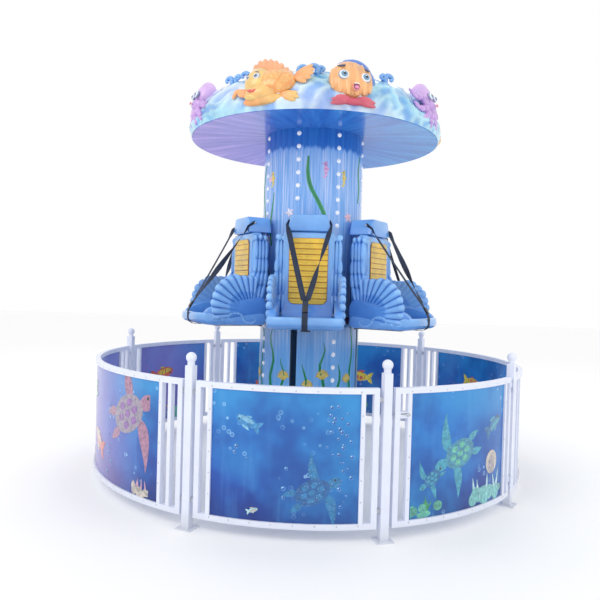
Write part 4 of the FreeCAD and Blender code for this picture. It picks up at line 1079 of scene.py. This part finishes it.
for place, size in (((0.078, -0.183, 3.42), 0.023), ((0.092, -0.109, 3.424), 0.028)):
    fish_parts += eyeball(place, size, (0.3, 0.35, 0.5))
for place in ((0.075, -0.19, 3.455, 0.03, 0.004), (0.085, -0.112, 3.465, 0.034, -0.004)):
    fish_parts.append(brow(*place, 0.005, (0.1, 0.08, 0.16)))
scale_paint = make_sculpt_paint("scaled_gelcoat", scales=34.0)
FIGURE_TURNS = [0, 120, 240]


def set_figures(relief, bearing, name, finish):
    """Bend a relief round the band and repeat it three times."""
    figures = join_copies(bend_round(relief), [facing(bearing + turn) for turn in FIGURE_TURNS], name)
    return settle(figures, "tower", finish, 80)


set_figures(fish_body, -16, "fish_bodies", scale_paint)
fish_piece = set_figures(merge(fish_parts, "fish"), -16, "fish_heads_and_fins", sculpt_paint)
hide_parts("canopy_fish")

PEEL, CREST, COLLAR = (0.84, 0.42, 0.17), (0.045, 0.17, 0.6), (0.62, 0.08, 0.14)
round_parts = [ball((-0.01, 0.0, 3.41), (0.1, 0.19, 0.172), PEEL, 48, 28)]
for side in (-0.155, -0.105, -0.045, 0.02, 0.08, 0.135):
    swell = math.sqrt(1 - (side / 0.19) ** 2)
    radii = (0.026, 0.031, 0.125 * swell + 0.02)
    round_parts.append(ball((0.1 * swell - 0.033, side, 3.41), radii, (0.87, 0.47, 0.2), 16, 12))
round_parts.append(ball((-0.06, 0.05, 3.452), (0.1, 0.2, 0.172), CREST, 40, 24))
for step in range(6):
    angle = math.radians(38 + 21 * step)
    start, end = [(-0.045, 0.035 - 0.18 * math.cos(turn), 3.448 + 0.155 * math.sin(turn))
                  for turn in (angle, angle + 0.35)]
    round_parts.append(taper(start, end, 0.018, 0.018, CREST, (0.1, 0.33, 0.8)))
for side in (-1, 1):
    tips = [(0.06, side * 0.17, 3.195), (0.065, side * 0.165, 3.225), (0.06, side * 0.13, 3.25)]
    round_parts += ray_fan((0.05, side * 0.03, 3.232), tips, 0.036, 0.022, COLLAR, (0.74, 0.14, 0.2), 0.7)
round_parts.append(taper((0.05, -0.13, 3.222), (0.05, 0.13, 3.222), 0.032, 0.032, COLLAR, None, 0.8))
for place in ((0.082, -0.08, 3.432), (0.076, 0.094, 3.424)):
    round_parts += eyeball(place, 0.041, (0.16, 0.34, 0.5))
BROW_INK = (0.05, 0.07, 0.16)
round_parts.append(brow(0.07, -0.092, 3.515, 0.07, 0.008, 0.009, BROW_INK))
round_parts.append(brow(0.062, 0.105, 3.505, 0.075, -0.014, 0.009, BROW_INK))
mouth = [(0.088, -0.002, 0.022, 3.33, 0.036, (0.75, 0.3, 0.28), 0.5, 20, 10),
         (0.1, -0.001, 0.019, 3.332, 0.027, (0.2, 0.02, 0.06), 0.5, 20, 10),
         (0.11, 0.0, 0.017, 3.322, 0.015, (0.8, 0.25, 0.45), 0.4, 14, 8),
         (0.106, -0.008, 0.026, 3.353, 0.007, (0.9, 0.92, 0.95), 0.6, 8, 6)]
for depth, left, right, level, girth, colour, flat, segments, rings in mouth:
    start, end = (depth, left, level), (depth, right, level)
    round_parts.append(taper(start, end, girth, girth, colour, None, flat, segments=segments, rings=rings))
round_piece = set_figures(merge(round_parts, "round_fish"), 16, "round_fish", sculpt_paint)
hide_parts("canopy_round_fish")

LILAC, LILAC_PALE, LILAC_DEEP = (0.58, 0.36, 0.76), (0.68, 0.46, 0.82), (0.5, 0.28, 0.72)
octopus_parts = [ball((-0.01, 0.02, 3.46), (0.09, 0.108, 0.122), LILAC_PALE)]
octopus_parts.append(taper((0.03, 0.02, 3.34), (0.03, 0.02, 3.38), 0.08, 0.085, LILAC, LILAC, 0.8))
arms = [[(-0.03, 3.36), (-0.12, 3.42), (-0.2, 3.385), (-0.285, 3.44)],
        [(-0.03, 3.34), (-0.11, 3.31), (-0.18, 3.3), (-0.24, 3.34)],
        [(-0.01, 3.32), (-0.07, 3.25), (-0.11, 3.245), (-0.145, 3.2)],
        [(0.03, 3.31), (0.01, 3.25), (0.04, 3.22), (0.02, 3.182)],
        [(0.06, 3.32), (0.12, 3.26), (0.13, 3.22), (0.175, 3.195)],
        [(0.08, 3.35), (0.15, 3.34), (0.19, 3.3), (0.235, 3.335)]]
for arm in arms:
    for step in range(3):
        first, last = 0.042 - 0.009 * step, 0.033 - 0.008 * step
        start, end = (0.035, *arm[step]), (0.035, *arm[step + 1])
        octopus_parts.append(taper(start, end, first, last, LILAC_PALE, LILAC_DEEP, 0.9, segments=12))
for side in (-0.02, 0.065):
    octopus_parts += eyeball((0.085, side, 3.44), 0.03, (0.25, 0.3, 0.5))
octopus_parts.append(taper((0.108, 0.015, 3.362), (0.108, 0.035, 3.362), 0.013, 0.013, (0.85, 0.2, 0.35),
                           None, 0.6))
octopus_piece = set_figures(merge(octopus_parts, "octopus"), 58, "octopuses", sculpt_paint)
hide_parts("canopy_octopus")


# ---------------------------------------------------------------- carriage
# The lifting frame behind the seats is brushed in a dark maroon chassis paint.
chassis_paint = make_painted("chassis_paint", (0.05, 0.012, 0.03), (0.02, 0.008, 0.012), 0.42, 160.0, 0.3)
dress(["carriage_hub", "carriage_frame", "seat_brackets"], chassis_paint)


# ---------------------------------------------------------------- seats
# Each bucket seat is one glossy moulding: a scooped pan with a rolled front lip, a fluted back
# with scrolls on its shoulders, and side wings shaped as scallop shells over curling waves.
# The seats are plain sea blue. SEA_SHADE is painted shade, low down and in the furrows between the shell
# ribs; SEA_LIT is painted light on the tops and on raised ribs, flutes, scrolls and swirls.
SEA, SEA_LIT, SEA_SHADE = (0.12, 0.35, 0.82), (0.24, 0.52, 0.93), (0.035, 0.16, 0.58)


def rounded_loop(points, cuts=2):
    """A closed outline with its corners cut round."""
    for _ in range(cuts):
        softer = []
        for (ax, az), (bx, bz) in zip(points, points[1:] + points[:1]):
            softer.append((ax * 0.75 + bx * 0.25, az * 0.75 + bz * 0.25))
            softer.append((ax * 0.25 + bx * 0.75, az * 0.25 + bz * 0.75))
        points = softer
    return points


def cushion(points, low, high, edge, axis="y", cuts=2):
    """A round-edged body: an outline carried from low to high across Y, or outwards along X."""
    loop = rounded_loop(points, cuts)
    count = len(loop)
    middle = (sum(point[0] for point in loop) / count, sum(point[1] for point in loop) / count)
    stations = [(low, None), (low, 1.0), (low + edge * 0.1, 0.6), (low + edge * 0.4, 0.2), (low + edge, 0.0)]
    steps = 8
    stations += [(low + edge + (high - low - 2 * edge) * step / steps, 0.0) for step in range(1, steps)]
    stations += [(low + high - place, inset) for place, inset in reversed(stations[:5])]
    body = new_grid(count, len(stations) - 1)
    for vertex in body.data.vertices:
        first, second = loop[round((vertex.co.x + 1) / 2 * count) % count]
        place, inset = stations[round((vertex.co.y + 1) / 2 * (len(stations) - 1))]
        gap = math.hypot(middle[0] - first, middle[1] - second)
        share = 1.0 if inset is None else min(1.0, inset * edge / gap)
        first += (middle[0] - first) * share
        second += (middle[1] - second) * share
        vertex.co = (first, place, second) if axis == "y" else (place, first, second)
    return finish_shell(body)


SHELL_PIVOT = (0.75, 1.485)
SHELL_EDGE = [(-13, 0.37), (0, 0.39), (17, 0.405), (36, 0.42), (55, 0.405), (78, 0.345), (101, 0.33)]
SHELL_RIBS = 11


def shell_reach(angle):
    """How far the scallop shell reaches from its pivot at an angle."""
    for (first, near), (last, far) in zip(SHELL_EDGE, SHELL_EDGE[1:]):
        if angle <= last:
            share = (angle - first) / (last - first)
            return near + (far - near) * (share * share * (3 - 2 * share))
    return SHELL_EDGE[-1][1]


def shell_wing(side):
    """A scallop shell standing along the seat's side: fat ribs outside, nearly smooth inside."""
    wing = new_grid(132, 44)
    layer = start_paint(wing)
    first, last = SHELL_EDGE[0][0], SHELL_EDGE[-1][0]
    for index, vertex in enumerate(wing.data.vertices):
        share, across = (vertex.co.x + 1) / 2, vertex.co.y
        outside = across < 0
        angle = first + (last - first) * share
        rib = abs(math.sin(math.pi * SHELL_RIBS * share)) ** 0.55
        spread = math.cos(math.pi / 2 * abs(across))
        reach = shell_reach(angle) * (0.955 + 0.045 * rib) * spread
        grown = min(1.0, max(0.0, (spread - 0.08) / 0.35))
        round_off = math.sin(math.pi / 2 * min(1.0, abs(across) * 3.2))
        middle = 0.279 + 0.02 * spread * spread
        thick = 0.02 + (0.015 if outside else 0.003) * rib * grown
        end_round = math.sqrt(min(1.0, share * 24, (1 - share) * 24))
        depth = middle + (thick if outside else -thick) * round_off * end_round
        turn = math.radians(angle)
        forward, climb = reach * math.cos(turn), reach * math.sin(turn)
        vertex.co = (SHELL_PIVOT[0] + forward, side * depth, SHELL_PIVOT[1] + climb)
        # Painted shade in the furrows between the ribs and painted light on their crests, outside and
        # inside.
        ridge = rib if outside else 0.55 + 0.3 * rib
        layer[index].color = blend(SEA_SHADE, SEA_LIT if spread > 0.55 else SEA, ridge)
    return finish_shell(wing)


def chained(trace, girths, colour, tip, flat=1.0, flat_along=(0, 1, 0)):
    """Round-ended links that follow a trace with changing girths."""
    links = []
    for start, end, first, last in zip(trace, trace[1:], girths, girths[1:]):
        links.append(taper(start, end, first, last, colour, tip, flat, flat_along, segments=12, rings=8))
    return links


def wave_swirl(side, x, z, size, turns, direction):
    """A curling wave carved on the lower side of the seat."""
    trace, girths = [], []
    for step in range(12):
        share = step / 11
        angle = math.radians(200 - direction * turns * 360 * share)
        reach = size * (1 - 0.8 * share)
        trace.append((x + reach * math.cos(angle) * direction, side * 0.311,
                      z + reach * math.sin(angle) * 0.62))
        girths.append(0.011 * (1 - 0.6 * share) + 0.002)
    # The swirl is painted light, a lighter blue than the seat.
    return chained(trace, girths, SEA_LIT, SEA_LIT, 0.8)


def seat_parts():
    """Every part of one seat that faces +X."""
    pan = [(0.6, 1.374), (0.75, 1.372), (1.0, 1.372), (1.17, 1.373), (1.252, 1.4), (1.252, 1.47),
           (1.23, 1.485), (1.18, 1.478)]
    pan += [(1.11, 1.446), (1.02, 1.438), (0.9, 1.446), (0.78, 1.47), (0.66, 1.482), (0.6, 1.482)]
    # Painted light: the pan and the back turn lighter towards the top, and the cheeks darker towards the
    # bottom.
    tub = tint(cushion(pan, -0.315, 0.315, 0.035), SEA, SEA_LIT, 2, 1.36, 1.5)
    for vertex in tub.data.vertices:
        if vertex.co.x > 1.05:
            vertex.co.x -= 0.05 * abs(vertex.co.y / 0.315) ** 5 * (vertex.co.x - 1.05) / 0.19
    back = [(0.592, 1.45), (0.76, 1.44), (0.757, 1.5), (0.738, 1.56), (0.738, 1.9), (0.738, 2.19),
            (0.73, 2.222), (0.6, 2.222)]
    parts = [tub, tint(cushion(back, -0.225, 0.225, 0.02), SEA, SEA_LIT, 2, 1.45, 2.3)]
    cheek = [(0.6, 1.4), (0.8, 1.383), (1.12, 1.383), (1.2, 1.41), (1.2, 1.5), (1.08, 1.56), (0.78, 1.62),
             (0.6, 1.64)]
    shoulder = [(0.597, 1.5), (0.74, 1.5), (0.728, 1.7), (0.715, 2.0), (0.712, 2.15), (0.6, 2.15)]
    for side in (-1, 1):
        low, high = sorted((side * 0.235, side * 0.312))
        parts.append(tint(cushion(cheek, low, high, 0.024), SEA_SHADE, SEA, 2, 1.38, 1.52))
        low, high = sorted((side * 0.2, side * 0.272))
        parts.append(tint(cushion(shoulder, low, high, 0.016), SEA, SEA, 2, 1.38, 1.52))
        parts.append(shell_wing(side))
        # The flutes and scrolls carry painted light in the lighter blue.
        for flute in range(4):
            top, foot = 0.613 + 0.033 * flute, 0.63 + 0.045 * flute
            trace = [(top, side * 0.272, 2.145), (top + 0.001, side * 0.276, 1.98),
                     (top + 0.005 * flute, side * 0.281, 1.86)]
            trace += [(foot, side * 0.286, 1.74), (foot * 0.7 + 0.222, side * 0.29, 1.62),
                      (foot * 0.3 + 0.52, side * 0.292, 1.52)]
            parts += chained(trace, (0.0205, 0.021, 0.0225, 0.025, 0.022, 0.012), SEA, SEA_LIT, 1.1)
        for flute, reach in enumerate((0.213, 0.245, 0.274)):
            trace = [(0.722, side * reach, 2.14), (0.726, side * reach, 1.85),
                     (0.736, side * (reach + 0.004), 1.66)]
            trace.append((0.775, side * (reach + 0.008), 1.53))
            parts += chained(trace, (0.0165, 0.0165, 0.017, 0.012), SEA_LIT, SEA, 1.0, (1, 0, 0))
        scrolls = ((0.628, 0.268, 2.168, 0.029), (0.676, 0.27, 2.174, 0.031), (0.722, 0.262, 2.166, 0.031),
                   (0.722, 0.222, 2.158, 0.024))
        for x, reach, z, girth in scrolls:
            start, end = (x - 0.004, side * reach, z), (x + 0.004, side * reach, z)
            parts.append(taper(start, end, girth, girth, SEA_LIT))
        for swirl in ((0.93, 1.437, 0.1, 0.9, 1), (1.09, 1.425, 0.062, 0.9, 1),
                      (0.76, 1.43, 0.072, 0.8, -1)):
            parts += wave_swirl(side, *swirl)
    return parts


SEAT_PLACES = [facing(60 * number) for number in range(6)]
seat_gelcoat = make_sculpt_paint("seat_gelcoat", 0.2, 3.0)
seat_mould = merge(seat_parts(), "seat_mould")
for number, place in enumerate(SEAT_PLACES):
    pick(seat_mould)
    bpy.ops.object.duplicate()
    seat = bpy.context.object
    seat.name = "scallop_seat_" + str(number + 1)
    seat.data.transform(place)
    settle(seat, "carriage", seat_gelcoat, 50)
    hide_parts("seat_" + str(number + 1))
bpy.data.objects.remove(seat_mould)


# ---------------------------------------------------------------- headrests
# A soft-edged block of the same gelcoat caps every seat back.
head = cushion([(-0.197, 2.222), (-0.1, 2.22), (0.1, 2.22), (0.197, 2.222), (0.192, 2.25), (0.158, 2.36),
                (0.14, 2.371), (0.0, 2.371),
                (-0.14, 2.371), (-0.158, 2.36), (-0.192, 2.25)], 0.527, 0.759, 0.016, "x", 1)
# Painted light: the headrest turns lighter towards the top.
tint(head, SEA, SEA_LIT, 2, 2.2, 2.4)
heads = settle(join_copies(head, SEAT_PLACES, "soft_headrests"), "carriage", seat_gelcoat,
               50)
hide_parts("headrests")


# ---------------------------------------------------------------- back pads
# Yellow quilted inserts with rows of stitched grooves in brick red.
PAD_LOW, PAD_HIGH, PAD_HALF, PAD_CORNER, PAD_ROWS = 1.578, 2.162, 0.172, 0.055, 12
pad = new_grid(30, PAD_ROWS * 12)
quilt = start_paint(pad)
for index, vertex in enumerate(pad.data.vertices):
    across, climb = math.sin(vertex.co.x * math.pi / 2), (vertex.co.y + 1) / 2
    height = PAD_LOW + (PAD_HIGH - PAD_LOW) * climb
    margin = min(height - PAD_LOW, PAD_HIGH - height, PAD_CORNER)
    half = PAD_HALF - PAD_CORNER + math.sqrt(max(0.0, PAD_CORNER ** 2 - (PAD_CORNER - margin) ** 2))
    row = climb * PAD_ROWS
    seam = abs(row - round(row)) if 0.5 < row < PAD_ROWS - 0.5 else 1.0
    groove = max(0.0, 1 - seam / 0.13)
    border = max(0.0, 1 - min(half * (1 - abs(across)), margin) / 0.007)
    plump = 0.0025 * math.sin(math.pi * min(1.0, seam * 2)) if seam < 1 else 0.0
    vertex.co = (0.7475 + plump - 0.003 * groove - 0.004 * border, half * across, height)
    quilt[index].color = blend((0.86, 0.56, 0.045), (0.35, 0.09, 0.03), min(1.0, max(groove * 0.9, border)))
apply_modifier(pad, "SOLIDIFY", thickness=0.0065, offset=-1)
vinyl = make_sculpt_paint("quilted_vinyl", 0.38, 9.0)
pads = settle(join_copies(pad, SEAT_PLACES, "quilted_pads"), "carriage", vinyl, 60)
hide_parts("back_pads")


# ---------------------------------------------------------------- belts and buckles
# Three-point harness of navy webbing: two shoulder straps, one of them twisted as it lies, that
# meet in a push buckle, and a strap from there down over the seat's lip.
def ribbon(trace, spreads, steps=10, width=0.048):
    """Webbing along a trace; each place has its own width direction."""
    strap = new_grid(4, (len(trace) - 1) * steps)
    lengths = [0.0]
    for start, end in zip(trace, trace[1:]):
        lengths.append(lengths[-1] + (Vector(end) - Vector(start)).length)
    runs = []
    for index, vertex in enumerate(strap.data.vertices):
        along = (vertex.co.y + 1) / 2 * (len(trace) - 1)
        span = min(len(trace) - 2, int(along + 1e-6))
        share = along - span
        middle = Vector(trace[span]).lerp(Vector(trace[span + 1]), share)
        spread, next_spread = [Vector(spreads[place]).normalized() for place in (span, span + 1)]
        spread = spread.slerp(next_spread, share, Vector((0, 1, 0)))
        runs.append((vertex.co.x * width / 2, lengths[span] + (lengths[span + 1] - lengths[span]) * share))
        vertex.co = middle + spread * (vertex.co.x * width / 2)
    for loop in strap.data.loops:
        strap.data.uv_layers[0].data[loop.index].uv = runs[loop.vertex_index]
    apply_modifier(strap, "SOLIDIFY", thickness=0.0026, offset=0)
    return strap


def make_webbing():
    """Woven polyester: fine crossing ribs along and across each strap."""
    finish, tree, shader = start_finish("navy_webbing", 0.72)
    uv = add_node(tree, "ShaderNodeUVMap", uv_map="UVMap")
    ribs = []
    for direction, scale in (("X", 190.0), ("Y", 260.0)):
        wave = add_node(tree, "ShaderNodeTexWave", bands_direction=direction, Scale_=scale)
        tree.links.new(uv.outputs["UV"], wave.inputs["Vector"])
        ribs.append(wave.outputs["Fac"])
    weave = add_mix(tree, 1.0, ribs[0], ribs[1], "MULTIPLY")
    wear = add_noise(tree, add_object_point(tree), 12.0, 4.0)
    thread = add_ramp(tree, weave, [(0.0, (0.012, 0.02, 0.045)), (0.6, (0.035, 0.055, 0.11))])
    faded = add_ramp(tree, wear, [(0.35, (0.75, 0.78, 0.85)), (0.7, (1.25, 1.22, 1.15))])
    end_finish(tree, shader, add_mix(tree, 1.0, thread, faded, "MULTIPLY"), weave, 0.5, 0.001)
    return finish


straps = []
for side in (-1, 1):
    edge = (0.32, side * 0.25, 0.92)
    start, corner = (0.69, side * 0.175, 2.31), (0.768, side * 0.188, 2.262)
    joint = (1.178, side * 0.014, 1.618)
    middles = [tuple(Vector(corner).lerp(Vector(joint), share)) for share in (0.1, 0.3, 0.5, 0.7, 0.9)]
    places = [start, corner] + middles + [joint]
    spreads = [edge, (0.2, 0.6 * side, 0.6)] + [(0, side, 0)] * 6
    if side > 0:
        spreads = [edge, (0.3, 0.5, 0.6), (0.1, 0.9, 0.2), (0.45, 0.8, 0.3), (0.85, 0.15, 0.5),
                   (0.5, -0.8, 0.3), (0, -1, 0), (0, -1, 0)]
    places = [(x, y, z - (0.012 * math.sin(math.pi * step / (len(places) - 1)) if step > 1 else 0))
              for step, (x, y, z) in enumerate(places)]
    straps.append(ribbon(places, spreads))
crotch = [(1.172, 0, 1.624), (1.21, 0, 1.562), (1.247, 0, 1.5), (1.253, 0, 1.47), (1.252, 0, 1.42),
          (1.238, 0, 1.392), (1.205, 0, 1.374),
          (1.15, 0, 1.37), (1.0, 0, 1.37)]
straps.append(ribbon(crotch, [(0, 1, 0)] * len(crotch), 6))
webbing = join_copies(merge(straps, "harness"), SEAT_PLACES, "seat_harness")
settle(webbing, "carriage", make_webbing(), 50)
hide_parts("belts")

bolt_heads = []
for side in (-1, 1):
    start, end = (0.69, side * 0.177, 2.31), (0.69, side * 0.181, 2.309)
    bolt_heads.append(taper(start, end, 0.012, 0.01, (1, 1, 1), segments=16))
bolts = join_copies(merge(bolt_heads, "anchor_bolt"), SEAT_PLACES, "harness_bolts")
settle(bolts, "carriage", zinc, 60)

plastic = make_painted("moulded_plastic", (0.018, 0.02, 0.026), (0.05, 0.05, 0.05), 0.45, 500.0, 0.3)
along_strap = Vector((0.075, 0, -0.124)).normalized()
outwards = Vector((0.124, 0, 0.075)).normalized()
middle = Vector((1.172, 0, 1.624)) + along_strap * 0.092 + outwards * 0.0095
parts = []
BLOCKS = [(0.0, 0.058, 0.044, 0.013), (0.018, 0.016, 0.03, 0.0155), (-0.026, 0.006, 0.046, 0.01)]
for reach, length, width, thick in BLOCKS:
    bpy.ops.object.select_all(action="DESELECT")
    bpy.ops.mesh.primitive_cube_add(size=1)
    block = bpy.context.object
    block.scale = (length, width, thick)
    bpy.ops.object.transform_apply(location=False, rotation=False, scale=True)
    apply_modifier(block, "BEVEL", width=0.0025, segments=3)
    turn = Matrix((along_strap, (0, 1, 0), outwards)).transposed().to_4x4()
    block.data.transform(Matrix.Translation(middle + along_strap * reach) @ turn)
    parts.append(block)
buckles = join_copies(merge(parts, "buckle"), SEAT_PLACES, "push_buckles")
settle(buckles, "carriage", plastic, 40)
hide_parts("buckles")
